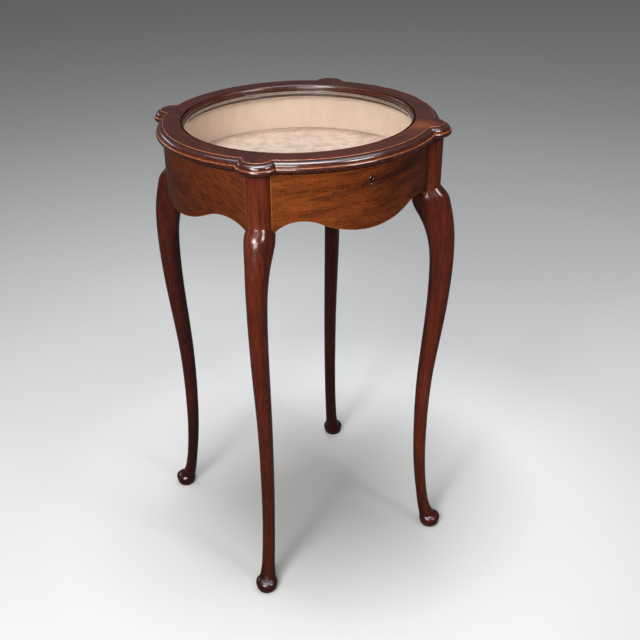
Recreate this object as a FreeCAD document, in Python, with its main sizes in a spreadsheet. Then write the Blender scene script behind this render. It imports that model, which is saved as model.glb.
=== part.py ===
import FreeCAD, Part
import math
import os
import re

import Sketcher
from FreeCAD import Placement, Rotation, Vector

# A round display table: a glazed lid hinged at the back, a lined case with a shaped apron,
# and four cabriole legs. +Z is up, the origin is on the floor under the middle of the top,
# the keyhole faces -Y and the hinges are at +Y. Lengths are in millimetres.

# Every driving dimension: its name, its value and what it measures.
SIZES = (
    # Whole table and lid
    ("table_height", 730.0, "floor to the top of the lid"),
    ("lid_thickness", 19.0, "lid frame and its moulding"),
    ("lid_gap", 0.3, "closed lid above the case"),
    ("lid_inset", 0.6, "outside of the aprons to the lid's upper arris"),
    ("frame_width", 31.6, "upper arris to the visible edge of the glass"),
    ("sight_slope", 2.4, "width of the slope down to the glass"),
    ("rebate_width", 5.7, "rebate under the sight edge"),
    ("rebate_cover", 6.5, "wood above the glass"),
    ("sight_land", 1.0, "upright land at the sight edge"),
    ("glass_thickness", 3.0, "pane"),
    ("glass_clearance", 0.3, "pane inside its rebate"),
    ("bead_height", 4.8, "glazing bead"),
    ("bead_chamfer", 2.0, "slope on the bead's inner edge"),
    ("ear_inset", 4.9, "outside of the aprons to the axis of an ear"),
    ("ear_radius", 21.5, "upper arris round an ear"),
    ("spline_inset", 6.5, "rebate to a joint's loose tongue"),
    ("spline_length", 13.0, "tongue along the joint"),
    ("spline_width", 24.0, "tongue across the joint"),
    ("spline_thickness", 3.0, "tongue"),
    ("spline_height", 6.0, "underside of the lid to the tongue"),
    # Moulded edge, measured outwards from the upper arris and down from the top
    ("moulding_inset", 1.2, "flat top lip of the moulding"),
    ("lip_height", 1.8, "upright lip"),
    ("step_width", 1.6, "fillet under the lip"),
    ("step_drop", 2.4, "top to the fillet's edge"),
    ("torus_reach", 7.4, "lower edge of the torus"),
    ("torus_drop", 8.0, "top to the torus's lower edge"),
    ("torus_radius", 5.6, "torus"),
    ("quirk", 0.7, "quirk under the torus"),
    ("band_edge", 8.9, "upper edge of the nosing"),
    ("band_foot", 8.2, "lower edge of the nosing"),
    ("band_drop", 15.4, "top to the nosing's lower edge"),
    ("band_radius", 4.3, "nosing"),
    ("cove_foot", 2.0, "inner edge of the cove"),
    ("cove_radius", 6.5, "cove under the nosing"),
    # Case
    ("apron_radius", 200.0, "outside of the aprons, which the lid and the legs follow"),
    ("apron_thickness", 12.5, "apron"),
    ("lobe_drop", 87.9, "top of the case to the lowest point of an apron"),
    ("arch_drop", 66.1, "top of the case to the crown of an apron's arch"),
    ("arch_offset", 94.0, "middle of an apron to its arch"),
    ("arch_radius", 50.0, "arch on the lobe's side"),
    ("spring_radius", 38.0, "arch on the leg's side"),
    ("tenon_setback", 3.5, "face of the apron to its tenon"),
    ("tenon_thickness", 6.0, "tenon"),
    ("tenon_drop", 12.0, "top of the case to the tenon"),
    ("tenon_height", 46.0, "tenon"),
    ("tenon_stop", 1.0, "end of a tenon to the middle of the stile"),
    ("well_depth", 55.2, "top of the case to the well's floor"),
    ("floor_lining_thickness", 2.8, "padded floor lining"),
    ("wall_lining_thickness", 1.9, "wall lining"),
    ("lining_drop", 1.0, "top of the case to the wall lining"),
    ("lining_gap", 0.2, "lining clear of the wood"),
    ("bottom_thickness", 8.0, "bottom board"),
    ("block_width", 12.0, "glue block, across and down"),
    ("block_angle", 18.0, "glue block round the apron, in degrees"),
    ("glue_gap", 0.05, "glue line between two pieces of wood"),
    # Stile and leg
    ("stile_half_width", 17.0, "half the stile's width"),
    ("stile_projection", 16.0, "front of the stile outside the aprons"),
    ("stile_depth", 36.0, "stile inside the knee, from front to back"),
    ("stile_foot_drop", 96.0, "top of the case to the stile's hidden lower end"),
    ("leg_flat", 0.8, "half the flat on the front of a leg"),
    ("foot_splay", 36.0, "axis of a pad foot outside the aprons"),
    ("foot_base_radius", 14.5, "sole of a foot"),
    ("foot_rim_radius", 18.1, "widest part of a foot"),
    ("foot_rim_height", 15.5, "floor to the rim"),
    ("foot_side_radius", 14.0, "curve from the sole to the rim"),
    ("foot_top_radius", 12.0, "edge of the foot's upper face"),
    ("foot_top_height", 21.0, "floor to the foot's upper face"),
    ("foot_shoulder_radius", 9.0, "curve over the rim"),
    # Lock
    ("lock_width", 42.0, "lock case"),
    ("lock_height", 28.0, "lock case under its selvedge"),
    ("lock_depth", 7.8, "lock case"),
    ("lock_setback", 0.2, "back of the lock to the inside of the apron"),
    ("lock_wall", 1.2, "lock case and selvedge's front"),
    ("cap_thickness", 1.0, "lock's back plate"),
    ("selvedge_length", 58.0, "selvedge"),
    ("selvedge_thickness", 1.5, "selvedge"),
    ("selvedge_screw_offset", 25.0, "middle of the selvedge to a screw"),
    ("keyhole_drop", 16.9, "top of the case to the middle of the keyhole's head"),
    ("keyhole_radius", 2.0, "keyhole's head"),
    ("keyhole_slot", 2.2, "width of the keyhole's slot"),
    ("keyhole_length", 7.6, "middle of the head to the slot's end"),
    ("thread_thickness", 0.8, "brass thread round the keyhole"),
    ("thread_depth", 3.4, "brass thread into the wood"),
    ("thread_proud", 0.15, "brass thread in front of the wood"),
    ("drill_pin_radius", 0.9, "drill pin"),
    ("drill_pin_length", 8.4, "drill pin in front of the lock's back"),
    ("staple_inset", 9.8, "inside of the lock case's end to the middle of a staple"),
    ("staple_thickness", 2.0, "staple along the bolt"),
    ("staple_width", 4.4, "staple across the bolt"),
    ("staple_drop", 9.6, "link plate to the end of a staple"),
    ("staple_eye_width", 3.0, "eye of a staple"),
    ("staple_eye_height", 4.0, "eye of a staple"),
    ("staple_foot", 1.3, "metal under a staple's eye"),
    ("slot_clearance", 0.6, "staple in its slot, all round"),
    ("bolt_travel", 5.5, "throw of the bolt"),
    ("bolt_clearance", 0.3, "bolt in the lock case"),
    ("bolt_bar_height", 5.5, "bar of the bolt"),
    ("bolt_end_gap", 0.6, "lock case to the bolt's end when unlocked"),
    ("bolt_spare", 2.5, "lock case beyond the bolt's end when locked"),
    ("bolt_bar_drop", 8.2, "underside of the selvedge to the bar"),
    ("hook_post", 2.0, "upright of a hook"),
    ("hook_finger", 5.4, "finger of a hook"),
    ("hook_width", 2.2, "finger of a hook across the bolt"),
    ("hook_height", 2.8, "finger of a hook"),
    ("hook_gap", 0.8, "finger clear of its staple when unlocked"),
    ("talon_radius", 2.2, "key's notch in the bar"),
    ("spring_thickness", 0.5, "bolt's spring"),
    ("spring_width", 2.6, "bolt's spring"),
    ("spring_span", 14.0, "bolt's spring"),
    ("spring_rise", 1.6, "bow of the bolt's spring"),
    ("link_plate_length", 44.0, "link plate"),
    ("link_plate_width", 7.8, "link plate"),
    ("link_plate_thickness", 1.5, "link plate"),
    ("link_screw_offset", 17.5, "middle of the link plate to a screw"),
    # Hinges and screws
    ("hinge_offset", 30.0, "middle of the back to the middle of a hinge"),
    ("hinge_length", 30.0, "hinge"),
    ("hinge_standoff", 2.8, "outside of the apron to the hinge's axis"),
    ("leaf_width", 14.5, "leaf, from the hinge's axis"),
    ("leaf_thickness", 1.2, "leaf"),
    ("knuckle_radius", 2.5, "knuckle"),
    ("knuckle_gap", 0.2, "between two knuckles"),
    ("knuckle_clearance", 0.3, "round the knuckles"),
    ("pin_radius", 1.2, "hinge pin"),
    ("pin_clearance", 0.04, "hinge pin in its bore"),
    ("pin_head_length", 0.6, "pin beyond the knuckles at each end"),
    ("leaf_screw_line", 11.0, "hinge's axis to its screws"),
    ("leaf_screw_pitch", 10.0, "between two hinge screws"),
    ("screw_head_radius", 2.1, "countersunk head"),
    ("screw_head_depth", 1.1, "countersunk head"),
    ("screw_shank_radius", 1.05, "shank"),
    ("screw_length", 9.5, "screw over all"),
    ("screw_point", 2.2, "screw's point"),
    ("screw_slot_width", 0.55, "driver slot"),
    ("screw_slot_depth", 0.5, "driver slot"),
    ("screw_clearance", 0.05, "screw in its hole"),
)

# Sections of a leg from the foot up: height, back, front, width and the back corners' radius.
# The first seven are measured up from the floor and the others down from the top of the case.
# Back and front are measured outwards from the face of the aprons.
LEG_SECTIONS = (
    ("pad", 14.0, 19.5, 49.0, 29.0, 13.0),
    ("instep", 27.0, 16.4, 40.1, 24.5, 10.8),
    ("ankle", 60.0, 10.7, 29.4, 21.3, 9.7),
    ("shin", 120.0, 3.1, 22.5, 20.2, 9.0),
    ("calf", 215.0, -2.0, 20.0, 20.8, 9.7),
    ("bend", 310.0, -1.2, 24.0, 21.8, 10.2),
    ("thigh", 410.0, 5.0, 35.4, 24.0, 11.2),
    ("underknee", 210.7, 7.6, 42.6, 25.7, 12.0),
    ("knee", 154.7, 1.9, 42.2, 28.0, 11.6),
    ("shoulder", 118.7, -13.0, 37.5, 30.8, 12.0),
    ("collar", 98.7, -23.0, 32.6, 32.8, 10.8),
    ("crown", 83.7, -24.0, 26.2, 33.0, 10.0),
    ("cap", 73.7, -24.0, 16.8, 28.0, 9.8),
    ("top", 66.1, -24.0, 11.0, 23.0, 9.6),
)
FLOOR_SECTIONS = 7
SECTION_FIELDS = ("height", "back", "front", "width", "corner")

# Derived places, as expressions of the sizes.
CASE_TOP = "(table_height - lid_thickness - lid_gap)"
LID_BOTTOM = "(table_height - lid_thickness)"
REBATE_TOP = "(table_height - rebate_cover)"
GLASS_BOTTOM = "(table_height - rebate_cover - glue_gap - glass_thickness)"
APRON_INNER = "(apron_radius - apron_thickness)"
WELL_FLOOR = f"({CASE_TOP} - well_depth)"
BOARD_TOP = f"({WELL_FLOOR} - floor_lining_thickness)"
BOARD_BOTTOM = f"({BOARD_TOP} - bottom_thickness)"
TOP_RADIUS = "(apron_radius - lid_inset)"
SIGHT_RADIUS = f"({TOP_RADIUS} - frame_width)"
REBATE_RADIUS = f"({SIGHT_RADIUS} + rebate_width)"
EAR_CENTRE = "(apron_radius - ear_inset)"
SPLINE_NEAR = f"({REBATE_RADIUS} + spline_inset)"
RING_RADIUS = f"({TOP_RADIUS} - moulding_inset)"
RING_EAR = "(ear_radius - moulding_inset)"
STILE_REACH = "(apron_radius + stile_projection)"
FOOT_REACH = "(apron_radius + foot_splay)"
HINGE_Y = "(apron_radius + hinge_standoff)"
HINGE_Z = f"({CASE_TOP} + lid_gap / 2)"
LOCK_BACK = f"({APRON_INNER} + lock_setback)"
LOCK_FRONT = f"({LOCK_BACK} + lock_depth)"
LOCK_HALF = "(lock_width / 2 - lock_wall)"
STAPLE_OFFSET = f"({LOCK_HALF} - staple_inset)"
BOLT_DEPTH = "(lock_depth - lock_wall - cap_thickness - 2 * bolt_clearance)"
LOCK_MIDDLE = f"({LOCK_FRONT} - lock_wall - bolt_clearance - {BOLT_DEPTH} / 2)"
SELVEDGE_BOTTOM = f"({CASE_TOP} - selvedge_thickness)"
LOCK_BOTTOM = f"({SELVEDGE_BOTTOM} - lock_height)"
KEYHOLE_Z = f"({CASE_TOP} - keyhole_drop)"

# Cutting tools pass the wood by this much.
PAST = "20"
QUARTER = 90.0
SIDES = (("front", -QUARTER), ("right", 0.0), ("back", QUARTER), ("left", 2 * QUARTER))
CORNERS = (("front_left", -1.5 * QUARTER), ("front_right", -0.5 * QUARTER),
           ("back_right", 0.5 * QUARTER), ("back_left", 1.5 * QUARTER))
HANDS = (("left", -1), ("right", 1))

doc = FreeCAD.newDocument("display_table")
sheet = doc.addObject("Spreadsheet::Sheet", "Sizes")
NODES = []


# ---------------------------------------------------------------- sheet and expressions

def fill_sheet():
    """Writes each driving dimension, with its alias and its meaning, into the sheet."""
    rows = list(SIZES)
    for section in LEG_SECTIONS:
        for field, number in zip(SECTION_FIELDS, section[1:]):
            rows.append((f"{section[0]}_{field}", number, f"{field} of the leg's {section[0]} section"))
    for row, (alias, number, meaning) in enumerate(rows, start=1):
        sheet.set(f"A{row}", alias)
        sheet.set(f"B{row}", str(number))
        sheet.set(f"C{row}", meaning)
        sheet.setAlias(f"B{row}", alias)
    doc.recompute()
    return {alias for alias, _, _ in rows}


ALIASES = fill_sheet()


def bound(text):
    """Returns an expression with each size's name pointing at its cell."""
    return re.sub(r"[a-z][a-z_]*", lambda word: f"Sizes.{word[0]}" if word[0] in ALIASES else word[0],
                  str(text))


def value(text):
    """Returns the present value of an expression."""
    number = sheet.evalExpression(bound(text))
    return float(getattr(number, "Value", number))


def bind(thing, name, text):
    """Binds one property of an object to an expression of the sizes."""
    thing.setExpression(name, bound(text))


def keep(thing, label):
    """Gives a finished sub-part its label and lists it for export."""
    thing.Label = label
    NODES.append(thing)
    return thing


def turn(thing, angle, reach=None):
    """Turns a sub-part about the table's axis, and moves it out along that direction."""
    thing.Placement = Placement(Vector(), Rotation(Vector(0, 0, 1), angle))
    if reach:
        bind(thing, ".Placement.Base.x", f"({reach}) * cos({angle})")
        bind(thing, ".Placement.Base.y", f"({reach}) * sin({angle})")
    return thing


# ---------------------------------------------------------------- sketches and features

def new_body(label):
    """Starts a body."""
    return keep(doc.addObject("PartDesign::Body", label), label)


def new_sketch(body, plane="XY_Plane", height=None):
    """Starts a sketch on one of the body's own planes, raised by a height if one is given."""
    sketch = body.newObject("Sketcher::SketchObject", f"{body.Name}_sketch")
    origin_plane = next(item for item in body.Origin.OriginFeatures if item.Role == plane)
    sketch.AttachmentSupport = [(origin_plane, "")]
    sketch.MapMode = "FlatFace"
    if height:
        bind(sketch, "AttachmentOffset.Base.z", height)
    return sketch


def hold(sketch, kind, where, text):
    """Adds one constraint whose value is an expression."""
    index = sketch.addConstraint(Sketcher.Constraint(kind, *where, value(text)))
    bind(sketch, f"Constraints[{index}]", text)


def arc_between(start, end, radius, side):
    """Returns the arc of up to half a turn between two points; side 1 runs anticlockwise."""
    chord = end - start
    across = Vector(-chord.y, chord.x, 0).normalize()
    rise = math.sqrt(max(radius ** 2 - (chord.Length / 2) ** 2, 0))
    centre = (start + end) / 2 + across * rise * side
    first, last = (start, end) if side > 0 else (end, start)
    angles = [math.atan2(point.y - centre.y, point.x - centre.x) for point in (first, last)]
    return Part.ArcOfCircle(Part.Circle(centre, Vector(0, 0, 1), radius), *angles)


def outline(sketch, corners, bends=None):
    """Draws a closed outline through corners whose coordinates are expressions.

    bends gives, for the edge that starts at a corner, an arc's radius and its side.
    """
    bends = bends or {}
    points = [Vector(value(x), value(y), 0) for x, y in corners]
    ends = []
    for index, start in enumerate(points):
        end = points[(index + 1) % len(points)]
        if index in bends:
            radius, side = bends[index]
            edge = sketch.addGeometry(arc_between(start, end, value(radius), side), False)
            ends.append((edge, 1, 2) if side > 0 else (edge, 2, 1))
            hold(sketch, "Radius", (edge,), radius)
        else:
            edge = sketch.addGeometry(Part.LineSegment(start, end), False)
            ends.append((edge, 1, 2))
    for index, (x, y) in enumerate(corners):
        edge, first, _ = ends[index]
        before, _, last = ends[index - 1]
        sketch.addConstraint(Sketcher.Constraint("Coincident", before, last, edge, first))
        hold(sketch, "DistanceX", (-1, 1, edge, first), x)
        hold(sketch, "DistanceY", (-1, 1, edge, first), y)
    return sketch


def rectangle(sketch, left, bottom, right, top):
    """Draws a rectangle between two corners."""
    return outline(sketch, ((left, bottom), (right, bottom), (right, top), (left, top)))


def circle(sketch, x, y, radius):
    """Draws a circle about a centre."""
    edge = sketch.addGeometry(Part.Circle(Vector(value(x), value(y), 0), Vector(0, 0, 1), value(radius)))
    hold(sketch, "DistanceX", (-1, 1, edge, 3), x)
    hold(sketch, "DistanceY", (-1, 1, edge, 3), y)
    hold(sketch, "Radius", (edge,), radius)
    return sketch


def feature(kind, body, sketch):
    """Adds a PartDesign feature of one profile to a body."""
    item = body.newObject(f"PartDesign::{kind}", f"{body.Name}_{kind.lower()}")
    item.Profile = sketch
    return item


def pad(body, sketch, length):
    """Raises a profile by a length along its normal."""
    item = feature("Pad", body, sketch)
    bind(item, "Length", length)
    return item


def pocket(body, sketch, depth=None, upwards=False):
    """Cuts a profile down by a depth, or right through on both sides if none is given."""
    item = feature("Pocket", body, sketch)
    if depth is None:
        item.SideType = "Symmetric"
        item.Type = "ThroughAll"
    else:
        item.Reversed = upwards
        bind(item, "Length", depth)
    return item


def revolve(body, sketch, angle, cut=False, axis="V_Axis"):
    """Turns a profile half an angle each way about an axis, to add it or to cut it."""
    item = feature("Groove" if cut else "Revolution", body, sketch)
    item.ReferenceAxis = (sketch, [axis])
    item.Midplane = True
    bind(item, "Angle", angle)
    return item


# ---------------------------------------------------------------- plain solids

def place(thing, x, y, z):
    """Puts an object at a point whose coordinates are expressions."""
    for axis, text in zip("xyz", (x, y, z)):
        bind(thing, f".Placement.Base.{axis}", text)
    return thing


def block(x, y, z, length, width, height):
    """Makes a box from its lowest corner."""
    item = doc.addObject("Part::Box", "block")
    for name, text in (("Length", length), ("Width", width), ("Height", height)):
        bind(item, name, text)
    return place(item, x, y, z)


def rod(x, y, z, radius, length, along="z", tip=None):
    """Makes a cylinder, or a cone if a tip radius is given, that starts at a point and runs along an axis."""
    turns = {"x": Rotation(Vector(0, 1, 0), QUARTER), "y": Rotation(Vector(1, 0, 0), -QUARTER),
             "-y": Rotation(Vector(1, 0, 0), QUARTER), "z": Rotation()}
    item = doc.addObject("Part::Cylinder" if tip is None else "Part::Cone", "rod")
    if tip is None:
        bind(item, "Radius", radius)
    else:
        bind(item, "Radius1", radius)
        bind(item, "Radius2", tip)
    bind(item, "Height", length)
    item.Placement = Placement(Vector(), turns[along])
    return place(item, x, y, z)


def fuse(items):
    """Joins solids into one."""
    item = doc.addObject("Part::MultiFuse", "joined")
    item.Shapes = items
    return item


def cut(base, tools):
    """Takes one or more solids away from another."""
    item = doc.addObject("Part::Cut", "cut")
    item.Base = base
    item.Tool = tools[0] if len(tools) == 1 else fuse(tools)
    return item


def group(label, items):
    """Lists separate solids of one kind as one sub-part."""
    item = doc.addObject("Part::Compound", label)
    item.Links = items
    return keep(item, label)


# ---------------------------------------------------------------- legs

def section_name(section, field):
    return f"{section[0]}_{field}"


def leg_section(body, index, section):
    """Draws one section of a leg: a round front, flat sides and rounded back corners."""
    height, back, front, width, corner = (section_name(section, field) for field in SECTION_FIELDS)
    level = height if index < FLOOR_SECTIONS else f"{CASE_TOP} - {height}"
    half = f"{width} / 2"
    nose = f"{width} / 2 - leg_flat"
    sketch = new_sketch(body, height=level)
    rear = f"apron_radius + {back}"
    fore = f"apron_radius + {front}"
    corners = (
        (f"{rear} + {corner}", f"-{half}"), (f"{fore} - ({nose})", f"-{half}"),
        (fore, "-leg_flat"), (fore, "leg_flat"),
        (f"{fore} - ({nose})", half), (f"{rear} + {corner}", half),
        (rear, f"{half} - {corner}"), (rear, f"-({half} - {corner})"),
    )
    return outline(sketch, corners, {1: (nose, 1), 3: (nose, 1), 5: (corner, 1), 7: (corner, 1)})


def pad_foot(body):
    """Turns the pad foot about its own axis."""
    sketch = new_sketch(body, "XZ_Plane")
    corners = (
        (FOOT_REACH, "0"), (f"{FOOT_REACH} + foot_base_radius", "0"),
        (f"{FOOT_REACH} + foot_rim_radius", "foot_rim_height"),
        (f"{FOOT_REACH} + foot_top_radius", "foot_top_height"), (FOOT_REACH, "foot_top_height"),
    )
    outline(sketch, corners, {1: ("foot_side_radius", 1), 2: ("foot_shoulder_radius", 1)})
    axis = sketch.addGeometry(Part.LineSegment(Vector(value(FOOT_REACH), 0, 0),
                                               Vector(value(FOOT_REACH), 1, 0)), True)
    sketch.addConstraint(Sketcher.Constraint("Vertical", axis))
    sketch.addConstraint(Sketcher.Constraint("PointOnObject", axis, 2, 3))
    hold(sketch, "DistanceX", (-1, 1, axis, 1), FOOT_REACH)
    hold(sketch, "DistanceY", (-1, 1, axis, 1), "0")
    item = revolve(body, sketch, "360", axis="Axis0")
    item.Midplane = False


def leg(label, angle):
    """One leg, stile and foot in a single length of wood; local +X points out along the diagonal."""
    body = new_body(label)
    loft = feature("AdditiveLoft", body, leg_section(body, 0, LEG_SECTIONS[0]))
    loft.Sections = [leg_section(body, index, section)
                     for index, section in enumerate(LEG_SECTIONS) if index]
    pad_foot(body)
    front = f"{STILE_REACH} - stile_half_width"
    rear = f"{STILE_REACH} - stile_depth"
    stile = new_sketch(body, height=f"{CASE_TOP} - stile_foot_drop")
    outline(stile, ((rear, "-stile_half_width"), (front, "-stile_half_width"), (STILE_REACH, "0"),
                    (front, "stile_half_width"), (rear, "stile_half_width")),
            {1: ("stile_half_width", 1), 2: ("stile_half_width", 1)})
    pad(body, stile, "stile_foot_drop")
    # Above the bottom board the stile is no deeper than the aprons.
    inside = rectangle(new_sketch(body, "XZ_Plane"), f"{APRON_INNER} - {PAST}", BOARD_BOTTOM,
                       APRON_INNER, f"{CASE_TOP} + {PAST}")
    revolve(body, inside, f"4 * asin(stile_half_width / {APRON_INNER})", cut=True)
    # Both tenons enter one mortise that goes through from side to side.
    mortise = rectangle(new_sketch(body, "XZ_Plane"),
                        "apron_radius - tenon_setback - tenon_thickness - glue_gap",
                        f"{CASE_TOP} - tenon_drop - tenon_height - glue_gap",
                        "apron_radius - tenon_setback + glue_gap", f"{CASE_TOP} - tenon_drop + glue_gap")
    revolve(body, mortise, "4 * asin(stile_half_width / apron_radius)", cut=True)
    return turn(body, angle)


# ---------------------------------------------------------------- aprons

def on_diagonal(along, across, side):
    """Returns the plan coordinates of a point given along and across a diagonal of the table."""
    return f"(({along}) + ({across})) / sqrt(2)", f"{side} * (({along}) - ({across})) / sqrt(2)"


def apron_edge(body):
    """Cuts the lower edge: a shallow lobe in the middle and an arch at each end."""
    arch_z = f"({CASE_TOP} - arch_drop)"
    drop = "(lobe_drop - arch_drop)"
    lobe = f"((arch_offset ^ 2 + (arch_radius - {drop}) ^ 2 - arch_radius ^ 2) / (2 * {drop}))"
    turn_y = f"(arch_offset * {lobe} / ({lobe} + arch_radius))"
    turn_z = f"{CASE_TOP} - lobe_drop + {lobe} - sqrt({lobe} ^ 2 - {turn_y} ^ 2)"
    end_y = "(arch_offset + spring_radius)"
    end_z = f"{arch_z} - spring_radius"
    low = f"{arch_z} - spring_radius - {PAST}"
    corners = (
        (end_y, low), (end_y, end_z), ("arch_offset", arch_z), (turn_y, turn_z),
        (f"-{turn_y}", turn_z), ("-arch_offset", arch_z), (f"-{end_y}", end_z), (f"-{end_y}", low),
    )
    bends = {1: ("spring_radius", 1), 2: ("arch_radius", 1), 3: (lobe, -1),
             4: ("arch_radius", 1), 5: ("spring_radius", 1)}
    pocket(body, outline(new_sketch(body, "YZ_Plane"), corners, bends))


def apron(label, angle):
    """One curved apron with its two tenons; local +X points out through its middle."""
    body = new_body(label)
    section = rectangle(new_sketch(body, "XZ_Plane"), APRON_INNER, f"{CASE_TOP} - lobe_drop",
                        "apron_radius", CASE_TOP)
    revolve(body, section, "90")
    for side in (1, -1):
        shoulder = "stile_half_width + glue_gap"
        corners = [on_diagonal(along, across, side)
                   for along, across in ((f"{APRON_INNER} - {PAST}", shoulder),
                                         (f"apron_radius + {PAST}", shoulder),
                                         (f"apron_radius + {PAST}", f"-{PAST}"),
                                         (f"{APRON_INNER} - {PAST}", f"-{PAST}"))]
        pocket(body, outline(new_sketch(body), corners))
    apron_edge(body)
    tenon = rectangle(new_sketch(body, "XZ_Plane"), "apron_radius - tenon_setback - tenon_thickness",
                      f"{CASE_TOP} - tenon_drop - tenon_height", "apron_radius - tenon_setback",
                      f"{CASE_TOP} - tenon_drop")
    revolve(body, tenon, "90 deg - 2 * asin(tenon_stop / apron_radius)")
    return turn(body, angle)


def keyhole_outline(sketch, ease):
    """Draws the keyhole, let out by an amount all round."""
    half = f"(keyhole_slot / 2 + {ease})"
    radius = f"(keyhole_radius + {ease})"
    join = f"{KEYHOLE_Z} - sqrt({radius} ^ 2 - {half} ^ 2)"
    end = f"{KEYHOLE_Z} - keyhole_length - ({ease})"
    corners = ((f"-{half}", end), (half, end), (half, join), ("0", f"{KEYHOLE_Z} + {radius}"), (f"-{half}", join))
    return outline(sketch, corners, {2: (radius, 1), 3: (radius, 1)})


def lock_seat(body):
    """Lets the lock into the front apron from above and from inside, and bores the keyhole."""
    ease = "glue_gap"
    plate = rectangle(new_sketch(body, height=CASE_TOP), f"{LOCK_BACK} - {ease}",
                      f"-selvedge_length / 2 - {ease}", f"{LOCK_FRONT} + {ease}", f"selvedge_length / 2 + {ease}")
    pocket(body, plate, f"selvedge_thickness + {ease}")
    case = rectangle(new_sketch(body, height=CASE_TOP), f"{APRON_INNER} - {PAST}",
                     f"-lock_width / 2 - {ease}", f"{LOCK_FRONT} + {ease}", f"lock_width / 2 + {ease}")
    pocket(body, case, f"selvedge_thickness + lock_height + {ease}")
    holes = new_sketch(body, height=CASE_TOP)
    for side in (1, -1):
        circle(holes, f"{LOCK_BACK} + lock_depth / 2", f"{side} * selvedge_screw_offset",
               "screw_shank_radius + screw_clearance")
    pocket(body, holes, f"screw_length + {ease}")
    pocket(body, keyhole_outline(new_sketch(body, "YZ_Plane", LOCK_FRONT), f"thread_thickness + {ease}"),
           "apron_thickness", upwards=True)


def hinge_seats(body, face, across, depth, upwards):
    """Lets the hinge leaves and their screws into a face; across gives a leaf's two long edges."""
    ease = "glue_gap"
    near, far = across
    for side in (1, -1):
        middle = f"{side} * hinge_offset"
        leaf = rectangle(new_sketch(body, height=face), near, f"{middle} - hinge_length / 2 - {ease}",
                         far, f"{middle} + hinge_length / 2 + {ease}")
        pocket(body, leaf, depth, upwards)


def screw_seats(body, face, upwards):
    """Bores the pilot holes of the hinge screws."""
    holes = new_sketch(body, height=face)
    for side in (1, -1):
        for step in (-1, 0, 1):
            circle(holes, f"{HINGE_Y} - leaf_screw_line", f"{side} * hinge_offset + {step} * leaf_screw_pitch",
                   "screw_shank_radius + screw_clearance")
    pocket(body, holes, "screw_length + glue_gap", upwards)


# ---------------------------------------------------------------- case

def case_boards():
    """Bottom board, its glue blocks and the two linings."""
    keep(rod("0", "0", BOARD_BOTTOM, f"{APRON_INNER} - lining_gap", "bottom_thickness"), "case_bottom")
    blocks = []
    for _, angle in SIDES:
        outer = rod("0", "0", f"{BOARD_BOTTOM} - glue_gap - block_width", f"{APRON_INNER} - lining_gap", "block_width")
        bind(outer, "Angle", "block_angle")
        inner = rod("0", "0", f"{BOARD_BOTTOM} - glue_gap - block_width",
                    f"{APRON_INNER} - lining_gap - block_width", "block_width")
        piece = cut(outer, [inner])
        piece.Placement = Placement(Vector(), Rotation(Vector(0, 0, 1), angle - value("block_angle") / 2))
        blocks.append(piece)
    group("bottom_glue_blocks", blocks)
    keep(rod("0", "0", f"{BOARD_TOP} + glue_gap", f"{APRON_INNER} - lining_gap",
             "floor_lining_thickness - glue_gap"), "floor_lining")
    height = "well_depth - lining_drop - glue_gap"
    skin = rod("0", "0", f"{WELL_FLOOR} + glue_gap", f"{APRON_INNER} - lining_gap", height)
    space = rod("0", "0", f"{WELL_FLOOR} + glue_gap", f"{APRON_INNER} - lining_gap - wall_lining_thickness", height)
    keep(cut(skin, [space]), "wall_lining")


# ---------------------------------------------------------------- screws

def screw(x, y, z, upwards=False):
    """Makes a countersunk wood screw whose head's face is at a point; it is driven down, or upwards."""
    head = rod("0", "0", "-screw_head_depth", "screw_shank_radius", "screw_head_depth", tip="screw_head_radius")
    shank = rod("0", "0", "screw_point - screw_length", "screw_shank_radius",
                "screw_length - screw_point - screw_head_depth")
    point = rod("0", "0", "-screw_length", "screw_slot_width / 2", "screw_point", tip="screw_shank_radius")
    slot = block("-screw_head_radius", "-screw_slot_width / 2", "-screw_slot_depth",
                 "2 * screw_head_radius", "screw_slot_width", "2 * screw_slot_depth")
    item = cut(fuse([head, shank, point]), [slot])
    item.Placement = Placement(Vector(), Rotation(Vector(1, 0, 0), 2 * QUARTER if upwards else 0))
    return place(item, x, y, z)


def countersink(x, y, z, upwards=False):
    """Makes the tool that seats a screw in a plate, with its running clearance."""
    head = rod("0", "0", "-screw_head_depth", "screw_shank_radius + screw_clearance", "screw_head_depth",
               tip="screw_head_radius + screw_clearance")
    shank = rod("0", "0", "-screw_length", "screw_shank_radius + screw_clearance", "screw_length")
    item = fuse([head, shank])
    item.Placement = Placement(Vector(), Rotation(Vector(1, 0, 0), 2 * QUARTER if upwards else 0))
    return place(item, x, y, z)


# ---------------------------------------------------------------- hinges

KNUCKLES = 5


def knuckle(middle, index, radius, ease):
    """Makes one knuckle's cylinder; ease is added at each end."""
    start = f"{middle} - hinge_length / 2 + {index} * hinge_length / {KNUCKLES} + knuckle_gap / 2 - ({ease})"
    length = f"hinge_length / {KNUCKLES} - knuckle_gap + 2 * ({ease})"
    return rod(start, HINGE_Y, HINGE_Z, radius, length, along="x")


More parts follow.
